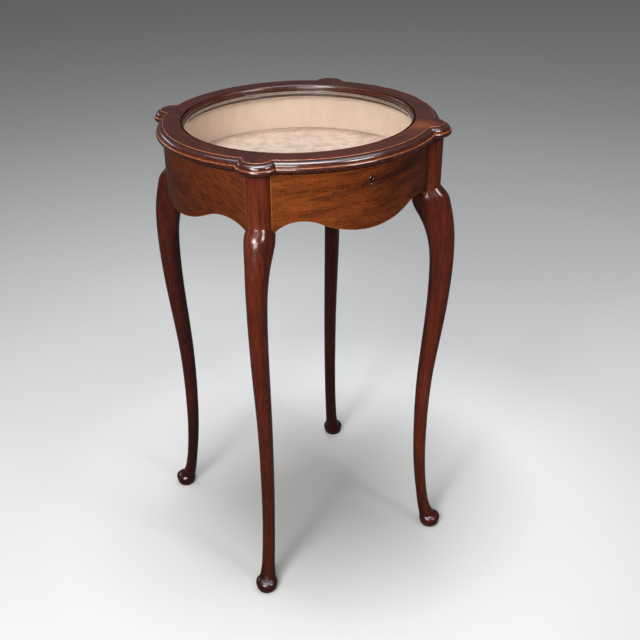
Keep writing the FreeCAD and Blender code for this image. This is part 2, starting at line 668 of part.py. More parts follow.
def hinge_leaf(label, middle, on_lid):
    """Makes a leaf with its own knuckles, cut back round the other leaf's."""
    first = 1 if on_lid else 0
    own = [index for index in range(KNUCKLES) if index % 2 == first]
    other = [index for index in range(KNUCKLES) if index % 2 != first]
    low = LID_BOTTOM if on_lid else f"{CASE_TOP} - leaf_thickness"
    face = LID_BOTTOM if on_lid else CASE_TOP
    plate = block(f"{middle} - hinge_length / 2", f"{HINGE_Y} - leaf_width", low, "hinge_length",
                  "leaf_width", "leaf_thickness")
    solid = fuse([plate] + [knuckle(middle, index, "knuckle_radius", "0") for index in own])
    tools = [knuckle(middle, index, "knuckle_radius + knuckle_clearance", "knuckle_gap") for index in other]
    tools.append(rod(f"{middle} - hinge_length", HINGE_Y, HINGE_Z, "pin_radius + pin_clearance",
                     "2 * hinge_length", along="x"))
    for step in (-1, 0, 1):
        tools.append(countersink(f"{middle} + {step} * leaf_screw_pitch", f"{HINGE_Y} - leaf_screw_line",
                                 face, on_lid))
    keep(cut(solid, tools), label)


def hinges():
    """Two butt hinges, each with two leaves, a pin and six screws."""
    for hand, side in HANDS:
        middle = f"({side} * hinge_offset)"
        hinge_leaf(f"hinge_{hand}_case_leaf", middle, False)
        hinge_leaf(f"hinge_{hand}_lid_leaf", middle, True)
        keep(rod(f"{middle} - hinge_length / 2 - pin_head_length", HINGE_Y, HINGE_Z, "pin_radius",
                 "hinge_length + 2 * pin_head_length", along="x"), f"hinge_{hand}_pin")
    for label, face, upwards in (("hinge_case_screws", CASE_TOP, False), ("hinge_lid_screws", LID_BOTTOM, True)):
        group(label, [screw(f"{side} * hinge_offset + {step} * leaf_screw_pitch", f"{HINGE_Y} - leaf_screw_line",
                            face, upwards) for _, side in HANDS for step in (-1, 0, 1)])


# ---------------------------------------------------------------- lid

def meeting(radius, ear):
    """Returns where a circle about the table's axis meets one about an ear's axis, along and across."""
    along = f"(({radius} ^ 2 - {ear} ^ 2 + {EAR_CENTRE} ^ 2) / (2 * {EAR_CENTRE}))"
    across = f"sqrt({radius} ^ 2 - {along} ^ 2)"
    return along, across


def ring_segment(label, angle):
    """A quarter of the lid's flat frame, with half an ear at each end; local +X is its middle."""
    body = new_body(label)
    along, across = meeting(RING_RADIUS, RING_EAR)
    tip = f"{EAR_CENTRE} + {RING_EAR}"
    low = [on_diagonal(a, b, -1) for a, b in ((REBATE_RADIUS, "0"), (tip, "0"), (along, across))]
    high = [on_diagonal(a, b, 1) for a, b in ((along, across), (tip, "0"), (REBATE_RADIUS, "0"))]
    plan = outline(new_sketch(body, height=LID_BOTTOM), low + high,
                   {1: (RING_EAR, 1), 2: (RING_RADIUS, 1), 3: (RING_EAR, 1), 5: (REBATE_RADIUS, -1)})
    pad(body, plan, "lid_thickness")
    lip = outline(new_sketch(body, "XZ_Plane"),
                  ((SIGHT_RADIUS, REBATE_TOP), (REBATE_RADIUS, REBATE_TOP), (REBATE_RADIUS, "table_height"),
                   (f"{SIGHT_RADIUS} + sight_slope", "table_height"),
                   (SIGHT_RADIUS, f"{REBATE_TOP} + sight_land")))
    revolve(body, lip, "90")
    near = f"{SPLINE_NEAR} - glue_gap"
    far = f"{SPLINE_NEAR} + spline_length + glue_gap"
    for side in (1, -1):
        slot = [on_diagonal(a, b, side)
                for a, b in ((near, "spline_width / 2 + glue_gap"), (far, "spline_width / 2 + glue_gap"),
                             (far, f"-{PAST}"), (near, f"-{PAST}"))]
        pocket(body, outline(new_sketch(body, height=f"{LID_BOTTOM} + spline_height - glue_gap"), slot),
               "spline_thickness + 2 * glue_gap", upwards=True)
    return turn(body, angle)


def edge_profile(sketch, base):
    """Draws the lid's moulded edge: lip, fillet, torus, quirk, nosing and cove."""
    down = "table_height - "
    corners = (
        (f"{base} - moulding_inset", "table_height"),
        (base, "table_height"),
        (base, down + "lip_height"),
        (f"{base} + step_width", down + "step_drop"),
        (f"{base} + torus_reach", down + "torus_drop"),
        (f"{base} + torus_reach - quirk", down + "torus_drop - quirk"),
        (f"{base} + band_edge", down + "torus_drop - quirk"),
        (f"{base} + band_foot", down + "band_drop"),
        (f"{base} + cove_foot", LID_BOTTOM),
        (f"{base} - moulding_inset", LID_BOTTOM),
    )
    return outline(sketch, corners, {3: ("torus_radius", -1), 6: ("band_radius", -1), 7: ("cove_radius", 1)})


def mitre_line():
    """Returns the mitre between the two mouldings: its inner end, and its run and rise to the outer."""
    inner = meeting(RING_RADIUS, RING_EAR)
    reach = "(band_edge + quirk)"
    outer = meeting(f"({TOP_RADIUS} + {reach})", f"(ear_radius + {reach})")
    return inner, (f"({outer[0]} - {inner[0]})", f"({outer[1]} - {inner[1]})")


def moulding(label, angle):
    """The moulded edge between two ears, mitred at both ends; local +X is its middle."""
    body = new_body(label)
    (along, across), (run, rise) = mitre_line()
    revolve(body, edge_profile(new_sketch(body, "XZ_Plane"), TOP_RADIUS),
            f"90 deg - 2 * atan2({across}; {along})")
    for side in (1, -1):
        corners = [on_diagonal(a, b, side)
                   for a, b in ((f"{along} - {run}", f"{across} - {rise}"),
                                (f"{along} + 2 * {run}", f"{across} + 2 * {rise}"),
                                (f"{along} + 2 * {run}", "0"), (f"{along} - {run}", "0"))]
        pocket(body, outline(new_sketch(body), corners))
    return turn(body, angle)


def ear_moulding(label, angle):
    """The moulded edge round one ear, mitred at both ends; the origin is the ear's own axis."""
    body = new_body(label)
    (along, across), (run, rise) = mitre_line()
    local = f"({along} - {EAR_CENTRE})"
    revolve(body, edge_profile(new_sketch(body, "XZ_Plane"), "ear_radius"), f"2 * atan2({across}; {local})")
    for side in (1, -1):
        corners = ((f"{local} - {run}", f"{side} * ({across} - {rise})"),
                   (f"{local} + 2 * {run}", f"{side} * ({across} + 2 * {rise})"),
                   (f"{local} - {run}", f"{side} * ({across} + 2 * {rise})"))
        pocket(body, outline(new_sketch(body), corners))
    return turn(body, angle, EAR_CENTRE)


def glazing():
    """The pane and the bead that holds it from below."""
    keep(rod("0", "0", GLASS_BOTTOM, f"{REBATE_RADIUS} - glass_clearance", "glass_thickness"), "glass_pane")
    body = new_body("glazing_bead")
    top = f"{GLASS_BOTTOM} - glue_gap"
    low = f"{GLASS_BOTTOM} - glue_gap - bead_height"
    outer = f"{REBATE_RADIUS} - glue_gap"
    sketch = outline(new_sketch(body, "XZ_Plane"),
                     ((f"{SIGHT_RADIUS} + bead_chamfer", low), (outer, low), (outer, top), (SIGHT_RADIUS, top),
                      (SIGHT_RADIUS, f"{low} + bead_chamfer")))
    item = revolve(body, sketch, "360")
    item.Midplane = False


def ring_splines():
    """The loose tongues across the four joints of the lid's frame."""
    tongues = []
    for _, angle in CORNERS:
        tongue = doc.addObject("Part::Box", "tongue")
        bind(tongue, "Length", "spline_length")
        bind(tongue, "Width", "spline_width")
        bind(tongue, "Height", "spline_thickness")
        tongue.Placement = Placement(Vector(), Rotation(Vector(0, 0, 1), angle))
        place(tongue, f"{SPLINE_NEAR} * cos({angle}) + spline_width / 2 * sin({angle})",
              f"{SPLINE_NEAR} * sin({angle}) - spline_width / 2 * cos({angle})", f"{LID_BOTTOM} + spline_height")
        tongues.append(tongue)
    group("lid_ring_splines", tongues)


def link_plate_seat(body):
    """Lets the link plate and its screws into the front of the lid's frame."""
    middle = LOCK_MIDDLE
    plate = rectangle(new_sketch(body, height=LID_BOTTOM), f"{middle} - link_plate_width / 2 - glue_gap",
                      "-link_plate_length / 2 - glue_gap", f"{middle} + link_plate_width / 2 + glue_gap",
                      "link_plate_length / 2 + glue_gap")
    pocket(body, plate, "link_plate_thickness + glue_gap", upwards=True)
    holes = new_sketch(body, height=LID_BOTTOM)
    for side in (1, -1):
        circle(holes, middle, f"{side} * link_screw_offset", "screw_shank_radius + screw_clearance")
    pocket(body, holes, "screw_length + glue_gap", upwards=True)


# ---------------------------------------------------------------- lock

def keyhole_tool(ease, front, depth):
    """Makes a solid of the keyhole's shape that runs back from a front plane."""
    head = rod("0", f"-{front}", KEYHOLE_Z, f"keyhole_radius + {ease}", depth, along="y")
    slot = block(f"-keyhole_slot / 2 - {ease}", f"-{front}", f"{KEYHOLE_Z} - keyhole_length - {ease}",
                 f"keyhole_slot + 2 * ({ease})", depth, "keyhole_length")
    return fuse([head, slot])


def lock():
    """Box lock: case, back plate, selvedge, drill pin, spring and screws, and the brass thread."""
    inner_width = f"2 * {LOCK_HALF}"
    shell = block("-lock_width / 2", f"-{LOCK_FRONT}", LOCK_BOTTOM, "lock_width",
                  "lock_depth - cap_thickness - glue_gap", "lock_height - glue_gap")
    space = block("-lock_width / 2 + lock_wall", f"-{LOCK_FRONT} + lock_wall", f"{LOCK_BOTTOM} + lock_wall",
                  inner_width, "lock_depth", "lock_height")
    keep(cut(shell, [space, keyhole_tool("0", LOCK_FRONT, "2 * lock_wall")]), "lock_case")
    cap = block("-lock_width / 2", f"-{LOCK_BACK} - cap_thickness", LOCK_BOTTOM, "lock_width",
                "cap_thickness", "lock_height - glue_gap")
    bore = rod("0", f"-{LOCK_FRONT}", KEYHOLE_Z, "drill_pin_radius + pin_clearance", "2 * lock_depth", along="y")
    keep(cut(cap, [bore]), "lock_cap")
    keep(rod("0", f"-{LOCK_BACK}", KEYHOLE_Z, "drill_pin_radius", "drill_pin_length", along="-y"), "lock_drill_pin")
    plate = block("-selvedge_length / 2", f"-{LOCK_FRONT}", SELVEDGE_BOTTOM, "selvedge_length",
                  "lock_depth", "selvedge_thickness")
    slots = [block(f"{side} * {STAPLE_OFFSET} - staple_thickness / 2 - slot_clearance",
                   f"-{LOCK_MIDDLE} - staple_width / 2 - slot_clearance", f"{SELVEDGE_BOTTOM} - selvedge_thickness",
                   "staple_thickness + 2 * slot_clearance", "staple_width + 2 * slot_clearance",
                   "3 * selvedge_thickness") for side in (1, -1)]
    sinks = [countersink(f"{side} * selvedge_screw_offset", f"-{LOCK_BACK} - lock_depth / 2", CASE_TOP)
             for side in (1, -1)]
    keep(cut(plate, slots + sinks), "lock_selvedge")
    group("lock_screws", [screw(f"{side} * selvedge_screw_offset", f"-{LOCK_BACK} - lock_depth / 2", CASE_TOP)
                          for side in (1, -1)])
    front = "(apron_radius + thread_proud)"
    thread = keyhole_tool("thread_thickness", front, "thread_depth")
    keep(cut(thread, [keyhole_tool("0", f"({front} + thread_depth)", "3 * thread_depth")]), "keyhole_escutcheon")


FINGER_MIDDLE = "(staple_foot + staple_eye_height / 2)"
FINGER_Z = f"({LID_BOTTOM} - staple_drop + {FINGER_MIDDLE} - hook_height / 2)"
BAR_TOP = f"({SELVEDGE_BOTTOM} - bolt_bar_drop)"


def hook_parts(side):
    """Makes one hook of the bolt: an upright and a finger that points at its staple."""
    staple = f"{side} * {STAPLE_OFFSET} - staple_thickness / 2"
    finger_start = f"({staple} - hook_gap - hook_finger)"
    post = block(f"{finger_start} - hook_post", f"-{LOCK_MIDDLE} - {BOLT_DEPTH} / 2", f"{BAR_TOP} - bolt_bar_height / 2",
                 "hook_post", BOLT_DEPTH, f"{FINGER_Z} + hook_height - {BAR_TOP} + bolt_bar_height / 2")
    finger = block(f"{finger_start} - hook_post / 2", f"-{LOCK_MIDDLE} - hook_width / 2", FINGER_Z,
                   "hook_finger + hook_post / 2", "hook_width", "hook_height")
    return [post, finger]


def lock_bolt():
    """The bolt: a bar with two hooks and the key's notch. It is drawn unlocked."""
    bar = block(f"bolt_end_gap - {LOCK_HALF}", f"-{LOCK_MIDDLE} - {BOLT_DEPTH} / 2", f"{BAR_TOP} - bolt_bar_height",
                f"2 * {LOCK_HALF} - bolt_end_gap - bolt_travel - bolt_spare", BOLT_DEPTH, "bolt_bar_height")
    talon = rod("0", f"-{LOCK_FRONT}", f"{BAR_TOP} - bolt_bar_height", "talon_radius", "2 * lock_depth", along="y")
    keep(cut(fuse([bar] + hook_parts(-1) + hook_parts(1)), [talon]), "lock_bolt")


def lock_spring():
    """The bowed strip that bears on the bolt from below, left of the key."""
    body = new_body("lock_spring")
    left = f"(bolt_clearance - {LOCK_HALF})"
    top = f"({BAR_TOP} - bolt_bar_height - bolt_clearance)"
    bow = "((spring_span ^ 2 / 4 + spring_rise ^ 2) / (2 * spring_rise))"
    upper = f"({bow} - spring_thickness)"
    corners = (
        (left, f"{top} - spring_rise - spring_thickness"),
        (left, f"{top} - spring_rise"),
        (f"{left} + spring_span / 2", top),
        (f"{left} + spring_span", f"{top} - spring_rise"),
        (f"{left} + spring_span", f"{top} - spring_rise - spring_thickness"),
        (f"{left} + spring_span / 2", f"{top} - spring_thickness"),
    )
    sketch = outline(new_sketch(body, "XZ_Plane", f"{LOCK_MIDDLE} - spring_width / 2"), corners,
                     {1: (bow, -1), 2: (bow, -1), 4: (bow, 1), 5: (bow, 1)})
    pad(body, sketch, "spring_width")


def link_plate():
    """The plate under the lid with two staples that drop into the lock."""
    middle = f"-{LOCK_MIDDLE}"
    plate = block("-link_plate_length / 2", f"{middle} - link_plate_width / 2", LID_BOTTOM,
                  "link_plate_length", "link_plate_width", "link_plate_thickness")
    staples = []
    tools = []
    for side in (1, -1):
        left = f"{side} * {STAPLE_OFFSET} - staple_thickness / 2"
        staples.append(block(left, f"{middle} - staple_width / 2", f"{LID_BOTTOM} - staple_drop",
                             "staple_thickness", "staple_width", "staple_drop + link_plate_thickness / 2"))
        tools.append(block(f"{left} - staple_thickness", f"{middle} - staple_eye_width / 2",
                           f"{LID_BOTTOM} - staple_drop + staple_foot", "3 * staple_thickness",
                           "staple_eye_width", "staple_eye_height"))
        tools.append(countersink(f"{side} * link_screw_offset", middle, LID_BOTTOM, True))
    keep(cut(fuse([plate] + staples), tools), "lock_link_plate")
    group("link_plate_screws", [screw(f"{side} * link_screw_offset", middle, LID_BOTTOM, True) for side in (1, -1)])


# ---------------------------------------------------------------- assembly

def build():
    """Builds every sub-part in the order in which the table is put together."""
    for name, angle in CORNERS:
        leg(f"leg_{name}", angle)
    aprons = {name: apron(f"apron_{name}", angle) for name, angle in SIDES}
    lock_seat(aprons["front"])
    leaf_edges = (f"{HINGE_Y} - leaf_width - glue_gap", f"{HINGE_Y} + {PAST}")
    hinge_seats(aprons["back"], CASE_TOP, leaf_edges, "leaf_thickness + glue_gap", False)
    screw_seats(aprons["back"], CASE_TOP, False)
    case_boards()
    segments = {name: ring_segment(f"lid_ring_{name}", angle) for name, angle in SIDES}
    hinge_seats(segments["back"], LID_BOTTOM, leaf_edges, "leaf_thickness + glue_gap", True)
    screw_seats(segments["back"], LID_BOTTOM, True)
    link_plate_seat(segments["front"])
    ring_splines()
    edges = {name: moulding(f"lid_moulding_{name}", angle) for name, angle in SIDES}
    hinge_seats(edges["back"], LID_BOTTOM, (APRON_INNER, f"{HINGE_Y} + knuckle_radius + knuckle_clearance"),
                "knuckle_radius + knuckle_clearance", True)
    for name, angle in CORNERS:
        ear_moulding(f"lid_ear_{name}", angle)
    glazing()
    hinges()
    lock()
    lock_spring()
    lock_bolt()
    link_plate()
    doc.recompute()


def check():
    """Stops if any object failed, or if a sub-part is empty or not valid."""
    failed = [item.Name for item in doc.Objects if {"Invalid", "Error"} & set(item.State)]
    for item in NODES:
        if item.Shape.isNull() or not item.Shape.isValid() or not item.Shape.Solids:
            failed.append(item.Label)
    if failed:
        raise RuntimeError("failed: " + ", ".join(failed))


def export():
    """Writes each sub-part to its own file."""
    os.makedirs("parts", exist_ok=True)
    for item in NODES:
        item.Shape.exportStep(f"parts/{item.Label}.step")
        print(f"{item.Label}: {len(item.Shape.Solids)} solid(s), {item.Shape.Volume:.1f} mm3")


build()
check()
export()
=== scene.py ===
"""A collectors display table: round glazed lid, lined well, shaped aprons and cabriole legs.

Every piece is built in metres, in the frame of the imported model: +Z is up, the origin is on
the floor under the middle of the round top, and the keyhole faces -Y.
"""

import logging
import math
from dataclasses import dataclass, field
from enum import Enum
from typing import Callable, Sequence, Union

import bmesh
import bpy
import numpy as np
from mathutils import Matrix, Vector
from mathutils.kdtree import KDTree


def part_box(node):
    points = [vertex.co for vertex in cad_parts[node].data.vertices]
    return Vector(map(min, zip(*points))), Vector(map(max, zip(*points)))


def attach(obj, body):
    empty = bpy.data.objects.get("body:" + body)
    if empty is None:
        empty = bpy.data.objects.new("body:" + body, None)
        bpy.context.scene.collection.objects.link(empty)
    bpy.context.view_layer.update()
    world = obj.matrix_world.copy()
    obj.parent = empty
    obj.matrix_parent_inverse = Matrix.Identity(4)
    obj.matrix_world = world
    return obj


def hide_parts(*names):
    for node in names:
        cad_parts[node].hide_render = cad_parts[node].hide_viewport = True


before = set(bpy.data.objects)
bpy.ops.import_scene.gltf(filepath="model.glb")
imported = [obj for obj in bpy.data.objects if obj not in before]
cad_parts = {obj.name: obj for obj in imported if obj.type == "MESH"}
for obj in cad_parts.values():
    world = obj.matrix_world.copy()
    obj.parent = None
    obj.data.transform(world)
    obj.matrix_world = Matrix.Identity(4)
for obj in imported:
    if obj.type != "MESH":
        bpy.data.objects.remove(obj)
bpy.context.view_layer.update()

LOG = logging.getLogger("display_table")
Triple = tuple[float, float, float]
Colour = Triple
Scale = Triple
Mark = Union[float, np.ndarray]
Section = tuple[np.ndarray, np.ndarray, np.ndarray]  # points, their wear, and their darkening: dark joints, and painted shade in hollows
GrainRule = Callable[[Vector], Triple]
IMAGE_WIDTH = 640  # pixels, for the focal length and the lens shift
FULL_TURN = 2.0 * math.pi
QUARTER = math.pi / 2
EIGHTH = math.pi / 4
HANDS = ("left", "right")
CRISP = 32.0  # degrees between two faces, from which their edge stays crisp
DOUBLES = 2e-6  # points closer than this are merged
SAME_PLACE = 1e-6  # a point nearer than this to an old one is the old one
MARK_REACH = 0.00055  # wear and painted shade end this far from their arris
SHORT_FLAT = 2.5 * MARK_REACH  # a shorter flat shares the marks of its arrises
EASE_SHARE = 0.45  # the part of a side that an eased corner may take
EASE_STEPS = (0.0, 0.33, 0.67, 1.0)  # points round an eased corner
CUT_SHADE = 0.75  # painted shade on a fresh point of a cut, which darkens the recesses that the cuts leave
CUT_PAST = 0.001  # a cutter runs this far past the wood
SEAT_EASE = 0.00005  # air between a seat and what lies in it
LEAF_THICKNESS = 0.0012  # a hinge leaf, which is let in flush


# ---------------------------------------- formulas in nodes


class Value:
    """One output socket, which adds maths nodes when it is used in a formula."""

    def __init__(self, graph: "Graph", socket: bpy.types.NodeSocket) -> None:
        """Keeps the socket and the graph that it belongs to."""
        self.graph = graph
        self.socket = socket

    def vector(self) -> bool:
        """Tells whether the socket carries three numbers."""
        return self.socket.type in ("VECTOR", "RGBA")

    def _work(self, operation: str, *values: "Term") -> "Value":
        """Adds one maths node.

        Args:
            operation: the node's operation.
            values: the terms, in order.

        Returns:
            The node's result.
        """
        vectors = any(isinstance(v, tuple) or (isinstance(v, Value) and v.vector()) for v in values)
        kind = "ShaderNodeVectorMath" if vectors else "ShaderNodeMath"
        terms = {}
        for index, value in enumerate(values):
            plain = not isinstance(value, (Value, tuple))
            terms[index] = (value, value, value) if vectors and plain else value
        return self.graph.out(kind, {"operation": operation}, terms)

    def __add__(self, other: "Term") -> "Value":
        """Adds."""
        return self._work("ADD", self, other)

    def __radd__(self, other: "Term") -> "Value":
        """Adds, from the right."""
        return self._work("ADD", other, self)

    def __sub__(self, other: "Term") -> "Value":
        """Subtracts."""
        return self._work("SUBTRACT", self, other)

    def __rsub__(self, other: "Term") -> "Value":
        """Subtracts this from another."""
        return self._work("SUBTRACT", other, self)

    def __mul__(self, other: "Term") -> "Value":
        """Multiplies."""
        return self._work("MULTIPLY", self, other)

    def __rmul__(self, other: "Term") -> "Value":
        """Multiplies, from the right."""
        return self._work("MULTIPLY", other, self)

    def __truediv__(self, other: "Term") -> "Value":
        """Divides."""
        return self._work("DIVIDE", self, other)

    def __rtruediv__(self, other: "Term") -> "Value":
        """Divides another by this."""
        return self._work("DIVIDE", other, self)

    def __pow__(self, other: "Term") -> "Value":
        """Raises to a power."""
        return self._work("POWER", self, other)

    def apply(self, operation: str) -> "Value":
        """Applies a function of one term, such as SINE or ARCCOSINE."""
        return self._work(operation, self)

    def ramp(self, low: float, high: float, start: float = 0.0, end: float = 1.0) -> "Value":
        """Turns a band of values smoothly into another.

        Args:
            low: value that gives start.
            high: value that gives end.
            start: result at low and below.
            end: result at high and above.

        Returns:
            The result.
        """
        inputs = {0: self, 1: low, 2: high, 3: start, 4: end}
        return self.graph.out("ShaderNodeMapRange", {"interpolation_type": "SMOOTHSTEP"}, inputs)

    def parts(self) -> tuple["Value", "Value", "Value"]:
        """Splits a vector into its three numbers."""
        node = self.graph.node("ShaderNodeSeparateXYZ", {}, {0: self})
        return tuple(Value(self.graph, node.outputs[axis]) for axis in range(3))


Term = Union[Value, float, tuple]


class Graph:
    """A node tree that is written as formulas."""

    def __init__(self, tree: bpy.types.NodeTree) -> None:
        """Keeps the tree."""
        self.tree = tree

    def node(self, kind: str, settings: dict, inputs: dict) -> bpy.types.Node:
        """Adds any node.

        Args:
            kind: the node's type.
            settings: its properties by name.
            inputs: values or links by socket name or number.

        Returns:
            The node.
        """
        item = self.tree.nodes.new(kind)
        for name, setting in settings.items():
            setattr(item, name, setting)
        for name, value in inputs.items():
            if isinstance(value, Value):
                self.tree.links.new(value.socket, item.inputs[name])
            else:
                item.inputs[name].default_value = value
        return item

    def out(self, kind: str, settings: dict, inputs: dict, output: Union[int, str] = 0) -> Value:
        """Adds any node and returns one of its outputs."""
        return Value(self, self.node(kind, settings, inputs).outputs[output])

    def join(self, x: Term, y: Term, z: Term) -> Value:
        """Joins three numbers into a vector."""
        return self.out("ShaderNodeCombineXYZ", {}, {0: x, 1: y, 2: z})

    def blend(self, factor: Term, first: Term, second: Term) -> Value:
        """Mixes two colours.

        Args:
            factor: share of the second.
            first: colour at 0.
            second: colour at 1.

        Returns:
            The mixed colour.
        """
        first, second = (c if isinstance(c, Value) else (*c, 1.0) for c in (first, second))
        settings = {"data_type": "RGBA", "blend_type": "MIX", "clamp_factor": True}
        return self.out("ShaderNodeMix", settings, {0: factor, 6: first, 7: second}, 2)

    def noise(self, place: Value, scale: Union[float, Scale], detail: float = 3.0,
              rough: float = 0.5, warp: float = 0.0) -> Value:
        """Adds a noise pattern, from 0 to 1.

        Args:
            place: where it is read, in metres.
            scale: features in a metre, the same along each axis or one for each.
            detail: octaves.
            rough: strength of the finer octaves.
            warp: distortion.

        Returns:
            The pattern.
        """
        inputs = {"Vector": place * scale, "Scale": 1.0, "Detail": detail, "Roughness": rough,
                  "Distortion": warp}
        return self.out("ShaderNodeTexNoise", {}, inputs)

    def mark(self, name: str) -> Value:
        """Reads a number that the maker left on the piece, such as wear."""
        return self.out("ShaderNodeAttribute", {"attribute_name": name}, {}, "Fac")


class Surface(Graph):
    """The node tree of one material, with its shader."""

    def __init__(self, name: str, constants: dict) -> None:
        """Starts a material.

        Args:
            name: the material's name.
            constants: what is the same all over, by the shader's socket name.
        """
        self.material = bpy.data.materials.new(name)
        self.material.use_nodes = True
        super().__init__(self.material.node_tree)
        self.shader = self.tree.nodes["Principled BSDF"]
        for socket, number in constants.items():
            self.shader.inputs[socket].default_value = number

    def place(self) -> Value:
        """Returns the object coordinates."""
        return self.out("ShaderNodeTexCoord", {}, {}, "Object")

    def grain(self) -> Value:
        """Returns the place along, across and into the grain or weave."""
        return self.out("ShaderNodeAttribute", {"attribute_name": "grain"}, {}, "Vector")

    def feed(self, varying: dict[str, Value]) -> None:
        """Links what varies over the surface to the shader, by socket name."""
        for socket, value in varying.items():
            self.tree.links.new(value.socket, self.shader.inputs[socket])

    def relief(self, height: Value, depth: float, strength: float) -> None:
        """Raises the surface.

        Args:
            height: pattern from 0 to 1.
            depth: its height in metres.
            strength: share of it that shows.
        """
        inputs = {"Height": height, "Distance": depth, "Strength": strength}
        self.feed({"Normal": self.out("ShaderNodeBump", {}, inputs)})


# ---------------------------------------- finishes


class Figure(Enum):
    """How the figure of a board runs."""

    PLAIN = "plain"
    MOTTLED = "mottled"
    CURL = "curl"


@dataclass(frozen=True)
class PolishedMahogany:
    """French-polished mahogany: streaks, pores, figure and rubbed arrises, with dark joints and painted
    shade in its quirks and hollows.

    A scale is the number of features in a metre, along, across and into the grain.
    """

    name: str
    deep: Colour
    warm: Colour
    bright: Colour
    figure: Figure = Figure.PLAIN
    streaks: float = 260.0
    contrast: float = 1.0
    roughness: float = 0.36
    polish: float = 0.085
    coat: float = 0.35
    sheen_level: float = 0.10
    fibre: float = 1.5
    pored: float = 0.40
    spread: tuple[float, float] = (0.10, 0.90)
    relief: float = 0.20
    grime_and_shade_colour: Colour = (0.004, 0.002, 0.002)
    drift_scale: Scale = (5.0, 14.0, 14.0)
    fine_scale: Scale = (70.0, 760.0, 760.0)
    band_scale: Scale = (3.4, 46.0, 46.0)
    pore_scale: Scale = (90.0, 1300.0, 1300.0)
    flare_scale: Scale = (9.0, 26.0, 26.0)
    rub_scale: float = 160.0
    swell_scale: float = 38.0

    def make(self) -> bpy.types.Material:
        """Makes the material.

        Returns:
            The material, which reads the marks grain, wear, grime and tone.
        """
        s = Surface(self.name, {"Coat Roughness": self.polish, "Coat IOR": 1.5, "IOR": 1.45,
                                "Specular IOR Level": self.sheen_level})
        grain = s.grain()
        drift = s.noise(grain, self.drift_scale, 2.0)
        bent = grain + s.join(0.0, (drift - 0.5) * 0.012, 0.0)
        streak = s.noise(bent, (self.streaks * 0.06, self.streaks, self.streaks), 4.0, 0.58)
        pores = s.noise(bent, self.pore_scale, 2.0).ramp(0.56, 0.66)
        rub = s.noise(grain, self.rub_scale, 4.0, 0.65)
        worn = (s.mark("wear") * (rub * 1.5 + 0.12)).ramp(0.28, 0.92)
        # Dark joints, and painted shade in quirks, hollows and recesses, darken the wood towards a
        # near-black colour and dull its polish.
        grime_and_shade_share = (s.mark("grime") * (rub * 0.7 + 0.75)).ramp(0.15, 0.95)
        colour = self.wood(s, grain, bent, streak)
        colour = s.blend(pores * self.pored, colour, tuple(c * 0.5 for c in self.deep))
        colour = s.blend(worn * 0.72, colour, self.bright)
        colour = s.blend(grime_and_shade_share * 0.92, colour, self.grime_and_shade_colour)
        dull = rub.ramp(0.30, 0.75, self.roughness - 0.05, self.roughness + 0.09) + grime_and_shade_share * 0.25
        s.feed({"Base Color": colour, "Roughness": dull,
                "Coat Weight": self.coat - grime_and_shade_share * self.coat * 0.92})
        height = streak * 0.35 + s.noise(grain, self.swell_scale, 2.0) * 2.0 - pores * 0.30
        s.relief(height, 0.0005, self.relief)
        return s.material

    def wood(self, s: Surface, grain: Value, bent: Value, streak: Value) -> Value:
        """Colours the clean wood, without its pores.

        Args:
            s: the material's tree.
            grain: place in the grain.
            bent: place in the drifting grain.
            streak: the streaks along it.

        Returns:
            The colour.
        """
        fine = s.noise(bent, self.fine_scale, 2.0, 0.6)
        band = s.noise(bent, self.band_scale, 3.0, 0.55)
        tone = (streak - 0.5) * 0.85 + (fine - 0.5) * self.fibre + (band - 0.5) * 0.55
        tone = (tone + self.figured(s, bent)) * self.contrast + 0.5
        # The tone mark carries the figure's own tone, the painted light and shade of the legs and aprons,
        # and the lighter patches of the lid frame.
        tone = tone + s.mark("tone") * (streak * 1.2 + 0.4)
        colour = s.blend(tone.ramp(*self.spread), self.deep, self.warm)
        flare = s.noise(grain, self.flare_scale, 2.0) * 0.6 + streak * 0.4 + s.mark("tone") * 0.9
        return s.blend(flare.ramp(0.55, 1.05) * 0.45, colour, self.bright)

    def figured(self, s: Surface, bent: Value) -> Value:
        """Adds the figure that runs across the grain.

        Args:
            s: the material's tree.
            bent: place in the drifting grain.

        Returns:
            What it adds to the tone, about zero.
        """
        if self.figure is Figure.MOTTLED:
            figure_and_painted_shade = s.noise(bent, (16.0, 70.0, 70.0), 5.0, 0.68, 0.4)
            fleck = s.noise(bent, (300.0, 520.0, 520.0), 2.0, 0.6)
            return (figure_and_painted_shade - 0.5) * 1.80 + (fleck - 0.5) * 1.25
        if self.figure is Figure.CURL:
            sweep = s.noise(bent, (9.0, 46.0, 46.0), 4.0, 0.66, 0.6)
            fleck = s.noise(bent, (60.0, 560.0, 560.0), 2.0, 0.6)
            return (sweep - 0.5) * 1.30 + (fleck - 0.5) * 2.80
        return (s.noise(bent, (24.0, 30.0, 30.0), 2.0) - 0.5) * 0.30


@dataclass(frozen=True)
class BareWood:
    """Planed secondary wood that was never polished, browned with age."""

    name: str = "bare_carcase_wood"
    deep: Colour = (0.105, 0.046, 0.022)
    warm: Colour = (0.240, 0.125, 0.062)
    dusty: Colour = (0.060, 0.032, 0.020)

    def make(self) -> bpy.types.Material:
        """Makes the material.

        Returns:
            The material.
        """
        s = Surface(self.name, {"Specular IOR Level": 0.3})
        place = s.place()
        ring = s.noise(place, (4.0, 95.0, 95.0), 4.0, 0.6)
        plane_marks = s.noise(place, (130.0, 6.0, 130.0), 1.0)
        dust = s.noise(place, 22.0, 4.0, 0.6)
        colour = s.blend(ring.ramp(0.3, 0.75), self.deep, self.warm)
        colour = s.blend(dust.ramp(0.45, 0.85) * 0.5, colour, self.dusty)
        s.feed({"Base Color": colour, "Roughness": dust.ramp(0.2, 0.8, 0.62, 0.82)})
        s.relief(ring * 0.6 + plane_marks * 0.5, 0.0006, 0.35)
        return s.material


